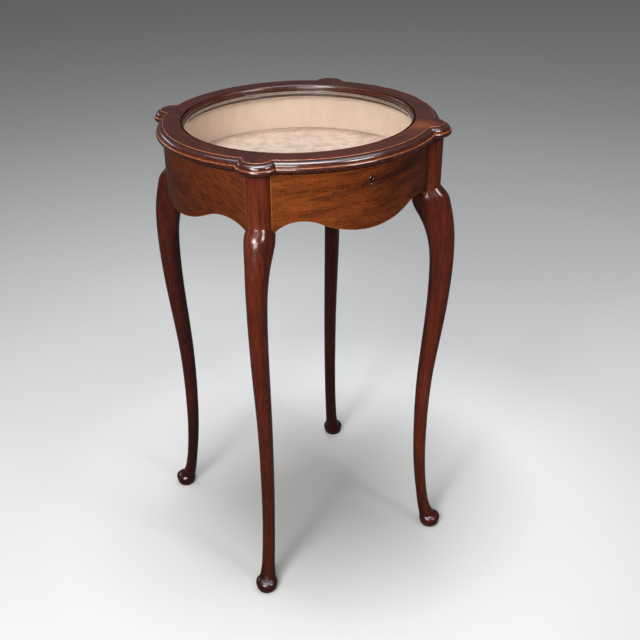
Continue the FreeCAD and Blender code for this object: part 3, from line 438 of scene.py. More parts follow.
@dataclass(frozen=True)
class AgedMetal:
    """Metal with a skin of tarnish, and brighter where it is rubbed."""

    name: str
    clean: Colour
    skin: Colour
    smooth: float = 0.24
    dull: float = 0.50

    def make(self) -> bpy.types.Material:
        """Makes the material.

        Returns:
            The material.
        """
        s = Surface(self.name, {"Metallic": 1.0})
        place = s.place()
        blotch = s.noise(place, 210.0, 5.0, 0.62, 0.4)
        scratch = s.noise(place, (2600.0, 260.0, 900.0), 2.0)
        cover = blotch.ramp(0.38, 0.68)
        dull = cover.ramp(0.0, 1.0, self.smooth, self.dull) + (scratch - 0.5) * 0.12
        s.feed({"Base Color": s.blend(cover * 0.85, self.clean, self.skin), "Roughness": dull})
        s.relief(scratch * 0.4 + blotch * 0.6, 0.0001, 0.35)
        return s.material


@dataclass(frozen=True)
class LiningCloth:
    """Plain-woven lining cloth, paler in patches, with faint foxing, dark seams and painted shade along its
    creases.
    """

    name: str
    colour: Colour = (1.000, 0.810, 0.680)
    shade: Colour = (0.840, 0.600, 0.450)
    thread: float = 0.00055
    stains: float = 0.30
    patches: Scale = (30.0, 16.0, 16.0)
    patchy: float = 0.34
    grainy: float = 0.42
    slub_scale: float = 1500.0
    slub_length: float = 30.0

    def make(self) -> bpy.types.Material:
        """Makes the material.

        Returns:
            The material, which reads the marks grain and grime.
        """
        s = Surface(self.name, {"Sheen Weight": 0.12, "Sheen Roughness": 0.45, "Specular IOR Level": 0.12,
                                "Roughness": 0.86})
        weave = s.grain()
        along, across, _ = weave.parts()
        pitch = FULL_TURN / self.thread
        wander = (s.noise(weave, 900.0, 1.0) - 0.5) * 1.4
        warp = (along * pitch + wander).apply("SINE")
        weft = (across * pitch + wander).apply("SINE")
        cloth = warp * weft * 0.5 + 0.5
        fine, coarse = self.slub_scale, self.slub_length
        slub = (s.noise(weave, (coarse, fine, coarse), 2.0) * 0.5
                + s.noise(weave, (fine, coarse, coarse), 2.0) * 0.5)
        mottle = s.noise(weave, 520.0, 3.0, 0.80)
        fade = s.noise(weave, self.patches, 6.0, 0.72, 0.5)
        spots = s.noise(weave, 130.0, 4.0, 0.66).ramp(0.64, 0.72)
        # Dark seams, and painted shade along the creases at the wall's foot and the floor's edge, broken up
        # by noise.
        grime_and_shade_share = s.mark("grime") * s.noise(weave, 85.0, 3.0, 0.6).ramp(0.36, 0.62)
        colour = s.blend(fade.ramp(0.42, 0.62) * self.patchy, self.colour, self.shade)
        colour = s.blend(mottle.ramp(0.50, 0.62) * self.grainy, colour, self.shade)
        colour = s.blend(cloth.ramp(0.0, 0.5, 0.10, 0.0) + (slub - 0.5) * 0.4, colour, self.shade)
        colour = s.blend(spots * self.stains, colour, tuple(c * 0.62 for c in self.shade))
        colour = s.blend(grime_and_shade_share * 0.85, colour, tuple(c * 0.35 for c in self.shade))
        s.feed({"Base Color": colour, "Roughness": cloth.ramp(0.0, 1.0, 0.90, 0.80)})
        s.relief(cloth * 0.5 + slub * 0.6 + mottle * 0.9, 0.0003, 0.55)
        return s.material


@dataclass(frozen=True)
class PaneGlass:
    """Clear sheet glass with a green ground edge and a little dust."""

    name: str = "pane_glass"
    ground: tuple = (0.20, 0.42, 0.30, 1.0)
    clear: tuple = (0.975, 0.990, 0.980, 1.0)
    mirrored: tuple = (0.95, 1.0, 0.98, 1.0)
    straight_on: float = 0.025
    edge_on: float = 0.80

    def make(self) -> bpy.types.Material:
        """Makes the material.

        Returns:
            The material, whose ground edge is where the mark wear is high.
        """
        s = Surface(self.name, {"Base Color": self.ground, "Roughness": 0.25, "IOR": 1.5})
        clear = s.out("ShaderNodeBsdfTransparent", {}, {"Color": self.clear})
        gloss = s.out("ShaderNodeBsdfGlossy", {}, {"Color": self.mirrored, "Roughness": 0.03})
        facing = s.out("ShaderNodeLayerWeight", {}, {"Blend": 0.5}, "Facing")
        mirror = facing ** 5.0 * self.edge_on + self.straight_on
        sheet = s.out("ShaderNodeMixShader", {}, {0: mirror, 1: clear, 2: gloss})
        dust = s.noise(s.place(), 60.0, 4.0, 0.6).ramp(0.4, 0.9, 0.004, 0.020)
        solid = dust + s.mark("wear") * 0.75
        whole = s.node("ShaderNodeMixShader", {}, {0: solid, 1: sheet, 2: Value(s, s.shader.outputs[0])})
        s.tree.links.new(whole.outputs[0], s.tree.nodes["Material Output"].inputs["Surface"])
        return s.material


@dataclass(frozen=True)
class StudioPaper:
    """Seamless paper, white round the table and grey behind it, whose colour is painted with light and
    shade: a painted shadow under the table, a painted ring of light round it, and paper painted paler far
    off against the lights' falloff.
    """

    name: str = "studio_paper"
    middle: tuple[float, float] = (0.10, 0.0)
    # Distance from the middle, and how light the paper is painted there.
    light_and_shade_tones: tuple[tuple[float, float], ...] = (
        (0.0, 0.56), (0.2, 0.62), (0.36, 0.71), (0.6, 0.63), (0.9, 0.64), (1.2, 0.60), (1.6, 0.59),
        (2.6, 0.612), (3.2, 0.657), (4.0, 0.728), (5.0, 0.80), (6.5, 0.92), (9.0, 0.95))
    warmth: Colour = (1.0, 0.988, 0.972)

    def make(self) -> bpy.types.Material:
        """Makes the material.

        Returns:
            The material.
        """
        s = Surface(self.name, {"Roughness": 0.9, "Specular IOR Level": 0.1})
        x, y, _ = s.place().parts()
        x, y = x - self.middle[0], y - self.middle[1]
        distance = (x * x + y * y) ** 0.5
        tone = distance * 0.0 + self.light_and_shade_tones[0][1]
        settings = {"interpolation_type": "LINEAR", "clamp": True}
        for (near, before), (far, after) in zip(self.light_and_shade_tones, self.light_and_shade_tones[1:]):
            inputs = {0: distance, 1: near, 2: far, 3: 0.0, 4: after - before}
            tone = tone + s.out("ShaderNodeMapRange", settings, inputs)
        s.feed({"Base Color": s.join(*(tone * share for share in self.warmth))})
        return s.material


class Finishes:
    """Every finish of the table, made once."""

    def __init__(self) -> None:
        """Makes the materials."""
        self.ring = PolishedMahogany(
            "mahogany_lid_frame", deep=(0.017, 0.003, 0.002), warm=(0.066, 0.012, 0.005),
            bright=(0.340, 0.095, 0.030), contrast=0.9, roughness=0.34, polish=0.12, coat=0.45,
            sheen_level=0.2).make()
        self.edge = PolishedMahogany(
            "mahogany_moulded_edge", deep=(0.015, 0.003, 0.002), warm=(0.076, 0.015, 0.006),
            bright=(0.560, 0.155, 0.045), streaks=300.0, roughness=0.30, polish=0.10, coat=0.90,
            sheen_level=0.2).make()
        self.front_apron = PolishedMahogany(
            "mahogany_front_apron", deep=(0.027, 0.005, 0.002), warm=(0.250, 0.053, 0.007),
            bright=(0.350, 0.114, 0.021), figure=Figure.MOTTLED, streaks=520.0, contrast=0.78,
            roughness=0.40, polish=0.16, coat=0.32, fibre=0.9, pored=0.12, spread=(-0.10, 1.35)).make()
        self.side_apron = PolishedMahogany(
            "mahogany_side_apron", deep=(0.024, 0.005, 0.003), warm=(0.152, 0.031, 0.005),
            bright=(0.255, 0.075, 0.018), figure=Figure.CURL, streaks=520.0, contrast=0.85,
            roughness=0.40, polish=0.16, pored=0.15, spread=(-0.10, 1.35)).make()
        self.leg = PolishedMahogany(
            "mahogany_leg", deep=(0.020, 0.003, 0.002), warm=(0.116, 0.016, 0.005),
            bright=(0.310, 0.076, 0.021), streaks=300.0, contrast=0.85, roughness=0.34, polish=0.19,
            coat=0.80, fibre=0.9, pored=0.18, relief=0.06).make()
        # The bead is coloured pale grey and lavender, far lighter than the mahogany round it.
        self.bead = PolishedMahogany(
            "pale_glazing_bead", deep=(0.130, 0.075, 0.060), warm=(0.400, 0.270, 0.230),
            bright=(0.620, 0.480, 0.420), streaks=300.0, contrast=0.9, roughness=0.34, polish=0.14,
            coat=0.80).make()
        self.bare = BareWood().make()
        self.brass = AgedMetal("aged_brass", clean=(0.62, 0.42, 0.17), skin=(0.17, 0.10, 0.045)).make()
        self.thread = AgedMetal(
            "keyhole_brass", clean=(0.34, 0.23, 0.12), skin=(0.045, 0.026, 0.015)).make()
        self.steel = AgedMetal(
            "lock_steel", clean=(0.36, 0.35, 0.34), skin=(0.085, 0.060, 0.045), smooth=0.32,
            dull=0.62).make()
        # The wall's cloth and the floor's are one lining. The wall's is painted as light as cloth can be,
        # which is painted light; the floor's is a darker, warmer copy, which is painted shade, with more
        # stains and paler patches of its own.
        self.lit_wall_cloth = LiningCloth("wall_lining_cloth", stains=0.22).make()
        self.shaded_floor_cloth = LiningCloth(
            "floor_lining_cloth", colour=(0.760, 0.545, 0.455), shade=(0.400, 0.250, 0.180),
            stains=0.60, patches=(40.0, 40.0, 40.0), patchy=0.50, grainy=0.62).make()
        self.glass = PaneGlass().make()
        self.paper = StudioPaper().make()


# ---------------------------------------- mesh making


class Outline:
    """A section drawn with straight lines and arcs, whose arrises are eased."""

    def __init__(self, x: float, y: float, ease: float = 0.0) -> None:
        """Starts at a point."""
        self.corners: list[tuple[float, float, float, float]] = [(x, y, ease, 0.0)]

    def to(self, x: float, y: float, ease: float = 0.0) -> "Outline":
        """Draws a line to a point, whose corner is rounded back by ease."""
        self.corners.append((x, y, ease, 0.0))
        return self

    def arc(self, x: float, y: float, radius: float, left: bool, ease: float = 0.0, steps: int = 9,
            rub: float = 0.0) -> "Outline":
        """Draws an arc to a point.

        Args:
            x: its end.
            y: its end.
            radius: its radius.
            left: whether its centre lies to the left of the way.
            ease: rounding of the corner at its end.
            steps: number of short lines.
            rub: wear at the arc's crest.

        Returns:
            The outline itself.
        """
        sx, sy = self.corners[-1][:2]
        dx, dy = x - sx, y - sy
        chord = math.hypot(dx, dy)
        rise = math.sqrt(max(radius * radius - chord * chord / 4.0, 0.0)) * (1.0 if left else -1.0)
        cx, cy = (sx + x) / 2.0 - dy / chord * rise, (sy + y) / 2.0 + dx / chord * rise
        start = math.atan2(sy - cy, sx - cx)
        sweep = (math.atan2(y - cy, x - cx) - start + math.pi) % FULL_TURN - math.pi
        for step in range(1, steps):
            turn = start + sweep * step / steps
            mark = rub * math.sin(math.pi * step / steps)
            self.corners.append((cx + radius * math.cos(turn), cy + radius * math.sin(turn), 0.0, mark))
        return self.to(x, y, ease)

    def trace(self) -> Section:
        """Rounds the arrises.

        Returns:
            The points of the closed outline, drawn clockwise round the wood, then the wear of
            each point (its outward corners) and its painted shade (its inward corners).
        """
        rows = []
        for index, (x, y, ease, mark) in enumerate(self.corners):
            here = np.array((x, y))
            if ease <= 0.0:
                rows.append((x, y, mark, 0.0))
                continue
            back = np.array(self.corners[index - 1][:2]) - here
            ahead = np.array(self.corners[(index + 1) % len(self.corners)][:2]) - here
            back_length, ahead_length = float(np.linalg.norm(back)), float(np.linalg.norm(ahead))
            cut = min(ease, EASE_SHARE * back_length, EASE_SHARE * ahead_length)
            first, last = here + back / back_length * cut, here + ahead / ahead_length * cut
            turning = float(back[1] * ahead[0] - back[0] * ahead[1])
            for share in EASE_STEPS:
                rest = 1.0 - share
                bend = first * rest ** 2 + here * 2.0 * share * rest + last * share ** 2
                # Outward corners are worn; inward corners get painted shade.
                rows.append((*bend, float(turning < 0.0), float(turning > 0.0)))
        return self.clean_flats(np.array(rows))

    def clean_flats(self, rows: np.ndarray) -> Section:
        """Adds unmarked points to the flats, so that marks stay beside their arrises.

        Args:
            rows: x, y, wear and painted shade of each point of the closed outline.

        Returns:
            The points, their wear and their painted shade, with the added points.
        """
        table = []
        for row, after in zip(rows, np.roll(rows, -1, axis=0)):
            table.append(row)
            step = after[:2] - row[:2]
            length = float(np.linalg.norm(step))
            if length > SHORT_FLAT and row[2:].sum() + after[2:].sum() > 0.0:
                for share in (MARK_REACH / length, 1.0 - MARK_REACH / length):
                    table.append(np.append(row[:2] + step * share, (0.0, 0.0)))
        table = np.array(table)
        return table[:, :2], table[:, 2], table[:, 3]


class Draft:
    """Points, faces and finish marks of a piece that is being shaped."""

    def __init__(self) -> None:
        """Starts with nothing."""
        self.points: list[np.ndarray] = []
        self.marks: dict[str, list[np.ndarray]] = {"grain": [], "wear": [], "grime": [], "tone": []}
        self.faces: list[tuple[int, ...]] = []
        self.count = 0

    def add(self, points: np.ndarray, grain: np.ndarray, wear: Mark = 0.0, grime: Mark = 0.0,
            tone: Mark = 0.0) -> np.ndarray:
        """Adds points.

        Args:
            points: places, with x, y and z last.
            grain: place along, across and into the grain of each.
            wear: how much each is rubbed; round the feet's rims it is also a painted highlight.
            grime: how dark each is: dirt and dark joints, and painted shade in hollows and recesses.
            tone: how much lighter or darker the wood is there, by its figure, and by painted light and
                shade on the legs and aprons.

        Returns:
            The points' numbers, in the shape that they came in.
        """
        shape = points.shape[:-1]
        total = int(np.prod(shape))
        self.points.append(points.reshape(-1, 3))
        self.marks["grain"].append(np.broadcast_to(grain, points.shape).reshape(-1, 3))
        for mark, values in (("wear", wear), ("grime", grime), ("tone", tone)):
            self.marks[mark].append(np.broadcast_to(values, shape).reshape(-1))
        numbers = np.arange(self.count, self.count + total).reshape(shape)
        self.count += total
        return numbers

    def skin(self, numbers: np.ndarray, around: bool = False, along: bool = False) -> None:
        """Covers a grid of points with faces.

        Args:
            numbers: the points' numbers, in rows and columns.
            around: whether the last column meets the first.
            along: whether the last row meets the first.
        """
        rows, columns = numbers.shape
        for row in range(rows if along else rows - 1):
            for column in range(columns if around else columns - 1):
                below, beside = (row + 1) % rows, (column + 1) % columns
                self.cap((numbers[row, column], numbers[row, beside],
                          numbers[below, beside], numbers[below, column]))

    def cap(self, loop: Sequence[int]) -> None:
        """Closes a loop of points with one face."""
        self.faces.append(tuple(int(number) for number in loop))

    def loft(self, points: np.ndarray, grain: np.ndarray, **marks: Mark) -> None:
        """Skins closed sections and closes both ends.

        Args:
            points: the sections' points, one section in each row.
            grain: place along, across and into the grain of each.
            **marks: wear, grime and tone of each.
        """
        numbers = self.add(points, grain, **marks)
        self.skin(numbers, around=True)
        self.cap(numbers[0][::-1])
        self.cap(numbers[-1])

    def mesh(self, name: str, sharp: float = CRISP) -> bpy.types.Mesh:
        """Makes the mesh.

        Args:
            name: its name.
            sharp: angle in degrees from which an edge stays crisp.

        Returns:
            A closed mesh whose faces point outwards.
        """
        mesh = bpy.data.meshes.new(name)
        mesh.from_pydata(np.concatenate(self.points).tolist(), [], self.faces)
        for mark, values in self.marks.items():
            kind, place = ("FLOAT_VECTOR", "vector") if mark == "grain" else ("FLOAT", "value")
            numbers = np.concatenate(values).astype(np.float32).ravel()
            mesh.attributes.new(mark, kind, "POINT").data.foreach_set(place, numbers)
        return settle(mesh, sharp)


def stand(name: str, data: bpy.types.ID) -> bpy.types.Object:
    """Puts a mesh, a light or a camera into the scene.

    Args:
        name: the object's name.
        data: what it shows.

    Returns:
        The object.
    """
    item = bpy.data.objects.new(name, data)
    bpy.context.scene.collection.objects.link(item)
    return item


def finished_mesh(item: bpy.types.Object) -> bpy.types.Mesh:
    """Returns a plain copy of an object's mesh, as its modifiers leave it."""
    graph = bpy.context.evaluated_depsgraph_get()
    return bpy.data.meshes.new_from_object(item.evaluated_get(graph))


def settle(mesh: bpy.types.Mesh, sharp: float) -> bpy.types.Mesh:
    """Merges doubles, turns the faces outwards and smooths all but the sharp edges.

    Args:
        mesh: a mesh of closed shells.
        sharp: angle in degrees from which an edge stays crisp.

    Returns:
        The same mesh.
    """
    work = bmesh.new()
    work.from_mesh(mesh)
    bmesh.ops.remove_doubles(work, verts=work.verts, dist=DOUBLES)
    bmesh.ops.recalc_face_normals(work, faces=work.faces)
    work.to_mesh(mesh)
    work.free()
    mesh.shade_smooth()
    mesh.set_sharp_from_angle(angle=math.radians(sharp))
    mesh.update()
    return mesh


class Cutter:
    """Closed blocks that are carved out of a piece of wood."""

    def __init__(self) -> None:
        """Starts with no block."""
        self.points: list[Triple] = []
        self.faces: list[tuple[int, ...]] = []

    def block(self, low: Sequence[float], high: Sequence[float]) -> "Cutter":
        """Adds a block between two corners."""
        outline = ((low[0], low[2]), (low[0], high[2]), (high[0], high[2]), (high[0], low[2]))
        return self.prism(outline, low[1], high[1])

    def seat(self, node: str, **sides: float) -> "Cutter":
        """Adds a block round a solid's box, with SEAT_EASE on each side.

        Args:
            node: the solid.
            **sides: the front, back, bottom or top, where the block ends elsewhere.

        Returns:
            The cutter itself.
        """
        low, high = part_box(node)
        ends = {"front": low.y - SEAT_EASE, "back": high.y + SEAT_EASE,
                "bottom": low.z - SEAT_EASE, "top": high.z + SEAT_EASE, **sides}
        return self.block((low.x - SEAT_EASE, ends["front"], ends["bottom"]),
                          (high.x + SEAT_EASE, ends["back"], ends["top"]))

    def prism(self, outline: Sequence[Sequence[float]], front: float, back: float) -> "Cutter":
        """Adds a prism.

        Args:
            outline: its points in x and z.
            front: y of its one end.
            back: y of its other end.

        Returns:
            The cutter itself.
        """
        start, count = len(self.points), len(outline)
        self.points += [(x, y, z) for y in (front, back) for x, z in outline]
        self.faces.append(tuple(start + i for i in range(count)))
        self.faces.append(tuple(start + count + i for i in reversed(range(count))))
        for i in range(count):
            j = (i + 1) % count
            self.faces.append((start + i, start + count + i, start + count + j, start + j))
        return self

    def carve(self, mesh: bpy.types.Mesh, rule: GrainRule, sharp: float = CRISP) -> bpy.types.Mesh:
        """Carves the blocks out.

        Args:
            mesh: the wood.
            rule: gives the grain of the points that the cuts add.
            sharp: angle in degrees from which an edge stays crisp.

        Returns:
            The carved mesh, under the same name.
        """
        tool = bpy.data.meshes.new("cutter")
        tool.from_pydata(self.points, [], self.faces)
        carriers = [stand(m.name, settle(m, sharp)) for m in (mesh, tool)]
        saw = carriers[0].modifiers.new("carve", "BOOLEAN")
        saw.operation, saw.solver, saw.object = "DIFFERENCE", "EXACT", carriers[1]
        carved = finished_mesh(carriers[0])
        self.keep_marks(mesh, carved, rule)
        name = mesh.name
        for carrier in carriers:
            bpy.data.objects.remove(carrier)
        for spent in (mesh, tool):
            bpy.data.meshes.remove(spent)
        carved.name = name
        return settle(carved, sharp)

    @staticmethod
    def keep_marks(mesh: bpy.types.Mesh, carved: bpy.types.Mesh, rule: GrainRule) -> None:
        """Gives the carved mesh the marks of the wood, and its fresh points grain and painted shade, which
        darkens the recesses that the cuts leave.

        Args:
            mesh: the wood.
            carved: the same after the cuts.
            rule: gives the grain of a fresh point.
        """
        known = KDTree(len(mesh.vertices))
        for index, vertex in enumerate(mesh.vertices):
            known.insert(vertex.co, index)
        known.balance()
        for index, vertex in enumerate(carved.vertices):
            _, old, distance = known.find(vertex.co)
            kept = distance < SAME_PLACE
            for mark, fresh in (("wear", 0.0), ("grime", CUT_SHADE), ("tone", 0.0)):
                value = mesh.attributes[mark].data[old].value if kept else fresh
                carved.attributes[mark].data[index].value = value
            grain = mesh.attributes["grain"].data[old].vector if kept else rule(vertex.co)
            carved.attributes["grain"].data[index].vector = grain


def paint(mesh: bpy.types.Mesh, finish: bpy.types.Material) -> None:
    """Gives a mesh its only finish."""
    mesh.materials.clear()
    mesh.materials.append(finish)


def set_up(mesh: bpy.types.Mesh, finish: bpy.types.Material) -> bpy.types.Object:
    """Puts a mesh into the scene in its finish, under its own name."""
    paint(mesh, finish)
    return stand(mesh.name, mesh)


def fit(mesh: bpy.types.Mesh, finish: bpy.types.Material, body: str, slot: str,
        *nodes: str) -> bpy.types.Object:
    """Sets a piece up, lets it stand for its solids and moves it with their body.

    Args:
        mesh: the piece.
        finish: its finish.
        body: the body that carries it.
        slot: the record's material slot; not used.
        *nodes: the solids that it stands for.

    Returns:
        The piece.
    """
    piece = set_up(mesh, finish)
    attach(piece, body)
    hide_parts(*nodes)
    LOG.info("%s: %d faces on %s", piece.name, len(mesh.polygons), body)
    return piece


def dress(finish: bpy.types.Material, *nodes: str) -> None:
    """Gives solids that stay as they are their finish.

    Args:
        finish: the finish.
        *nodes: the solids.
    """
    for node in nodes:
        paint(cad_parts[node].data, finish)
        LOG.info("%s: dressed", node)


def ring_points(radius: Mark, angle: Mark, height: Mark) -> np.ndarray:
    """Places points by their distance from the table's axis, angle in radians and height."""
    return together(radius * np.cos(angle), radius * np.sin(angle), height)


def together(x: Mark, y: Mark, z: Mark) -> np.ndarray:
    """Joins three numbers, or grids of numbers, into points."""
    return np.stack(np.broadcast_arrays(x, y, z), axis=-1)


def full_turn(steps: int, start: float = 0.0) -> np.ndarray:
    """Divides a full turn into equal steps, in radians."""
    return np.linspace(start, start + FULL_TURN, steps, endpoint=False)


def run_length(points: np.ndarray) -> np.ndarray:
    """Measures the way along a section to each of its points."""
    return np.cumsum(np.linalg.norm(np.diff(points, axis=0, prepend=points[:1]), axis=1))


def turned(points: np.ndarray, angle: float) -> np.ndarray:
    """Turns points about the table's axis by an angle in radians."""
    (x, y, z), c, s = np.moveaxis(points, -1, 0), math.cos(angle), math.sin(angle)
    return together(c * x - s * y, s * x + c * y, z)


def smooth_rows(places: np.ndarray, rows: np.ndarray, wanted: np.ndarray) -> np.ndarray:
    """Draws a smooth curve through rows of numbers.

    Args:
        places: where the rows are, rising.
        rows: one row of numbers for each place.
        wanted: places to read.

    Returns:
        A row for each wanted place, on natural cubic splines.
    """
    count = len(places)
    gap = np.diff(places)
    matrix = np.eye(count)
    right = np.zeros((count, rows.shape[1]))
    for i in range(1, count - 1):
        matrix[i, i - 1:i + 2] = gap[i - 1], 2.0 * (gap[i - 1] + gap[i]), gap[i]
        right[i] = 6.0 * ((rows[i + 1] - rows[i]) / gap[i] - (rows[i] - rows[i - 1]) / gap[i - 1])
    bend = np.linalg.solve(matrix, right)
    k = np.clip(np.searchsorted(places, wanted) - 1, 0, count - 2)
    h, a, b = gap[k], places[k + 1] - wanted, wanted - places[k]
    h, a, b = h[:, None], a[:, None], b[:, None]
    straight = (rows[k] * a + rows[k + 1] * b) / h
    return straight + ((a ** 3 / h - a * h) * bend[k] + (b ** 3 / h - b * h) * bend[k + 1]) / 6.0


class Recipe(Graph):
    """A geometry node tree with named inputs, which leaves a plain mesh."""

    def __init__(self, name: str) -> None:
        """Starts a tree with a geometry input and output.

        Args:
            name: the tree's name.
        """
        super().__init__(bpy.data.node_groups.new(name, "GeometryNodeTree"))
        for way in ("INPUT", "OUTPUT"):
            self.tree.interface.new_socket("Geometry", in_out=way, socket_type="NodeSocketGeometry")
        self.source = self.tree.nodes.new("NodeGroupInput")
        self.target = self.tree.nodes.new("NodeGroupOutput")
        self.identifiers: dict[str, str] = {}

    def start(self) -> Value:
        """Returns the geometry that comes in."""
        return Value(self, self.source.outputs["Geometry"])

    def ask(self, name: str, kind: str = "NodeSocketFloat") -> Value:
        """Adds a named input.

        Args:
            name: its name.
            kind: its socket type.

        Returns:
            What the input gives.
        """
        socket = self.tree.interface.new_socket(name, in_out="INPUT", socket_type=kind)
        self.identifiers[name] = socket.identifier
        return Value(self, self.source.outputs[name])

    def store(self, geometry: Value, name: str, value: Value, domain: str = "POINT",
              kind: str = "FLOAT") -> Value:
        """Keeps a value on the geometry's points, or on its instances, under a name."""
        return self.out("GeometryNodeStoreNamedAttribute", {"data_type": kind, "domain": domain},
                        {"Geometry": geometry, "Name": name, "Value": value})

    def read(self, name: str, kind: str = "FLOAT") -> Value:
        """Reads a value that was kept under a name."""
        return self.out("GeometryNodeInputNamedAttribute", {"data_type": kind}, {"Name": name})

    def copies(self, seats: Value, piece: Value, rotation: Value) -> Value:
        """Puts a copy of a piece on each point of the seats."""
        return self.out("GeometryNodeInstanceOnPoints", {},
                        {"Points": seats, "Instance": piece, "Rotation": rotation})

    def real(self, geometry: Value) -> Value:
        """Makes the copies real."""
        return self.out("GeometryNodeRealizeInstances", {}, {"Geometry": geometry})

    def close(self, geometry: Value, finish: Value) -> None:
        """Ends the tree in real geometry with its material."""
        end = self.out("GeometryNodeSetMaterial", {}, {"Geometry": self.real(geometry), "Material": finish})
        self.tree.links.new(end.socket, self.target.inputs[0])

    def run(self, name: str, start: bpy.types.Mesh, values: dict) -> bpy.types.Mesh:
        """Runs the tree once.

        Args:
            name: name of the mesh that comes out.
            start: the mesh that goes in.
            values: the named inputs.

        Returns:
            A plain mesh.
        """
        carrier = stand(f"{name}_blank", start)
        modifier = carrier.modifiers.new(self.tree.name, "NODES")
        modifier.node_group = self.tree
        for key, value in values.items():
            modifier[self.identifiers[key]] = value
        carrier.update_tag()
        mesh = finished_mesh(carrier)
        mesh.name = name
        carrier.modifiers.remove(modifier)
        bpy.data.objects.remove(carrier)
        return mesh


# ---------------------------------------- shared sizes


@dataclass(frozen=True)
class Levels:
    """Heights and radii that several sub-assemblies share, in metres."""

    top: float = 0.7300
    lid_bottom: float = 0.7110
    case_top: float = 0.7107
    well_floor: float = 0.6555
    board_bottom: float = 0.6447
    apron_outer: float = 0.2000
    apron_inner: float = 0.1875
    ear_centre: float = 0.1951
    arris_radius: float = 0.1994
    ear_arris: float = 0.0215
    lip: float = 0.0012


SHARED = Levels()
CORNERS = (("front_left", -3 * EIGHTH), ("front_right", -EIGHTH),
           ("back_right", EIGHTH), ("back_left", 3 * EIGHTH))
SIDES = (("front", -QUARTER), ("right", 0.0), ("back", QUARTER), ("left", math.pi))


@dataclass(frozen=True)
class SubAssembly:
    """A part of the table that is built in one go, in the table's finishes."""

    finishes: Finishes


# ---------------------------------------- legs


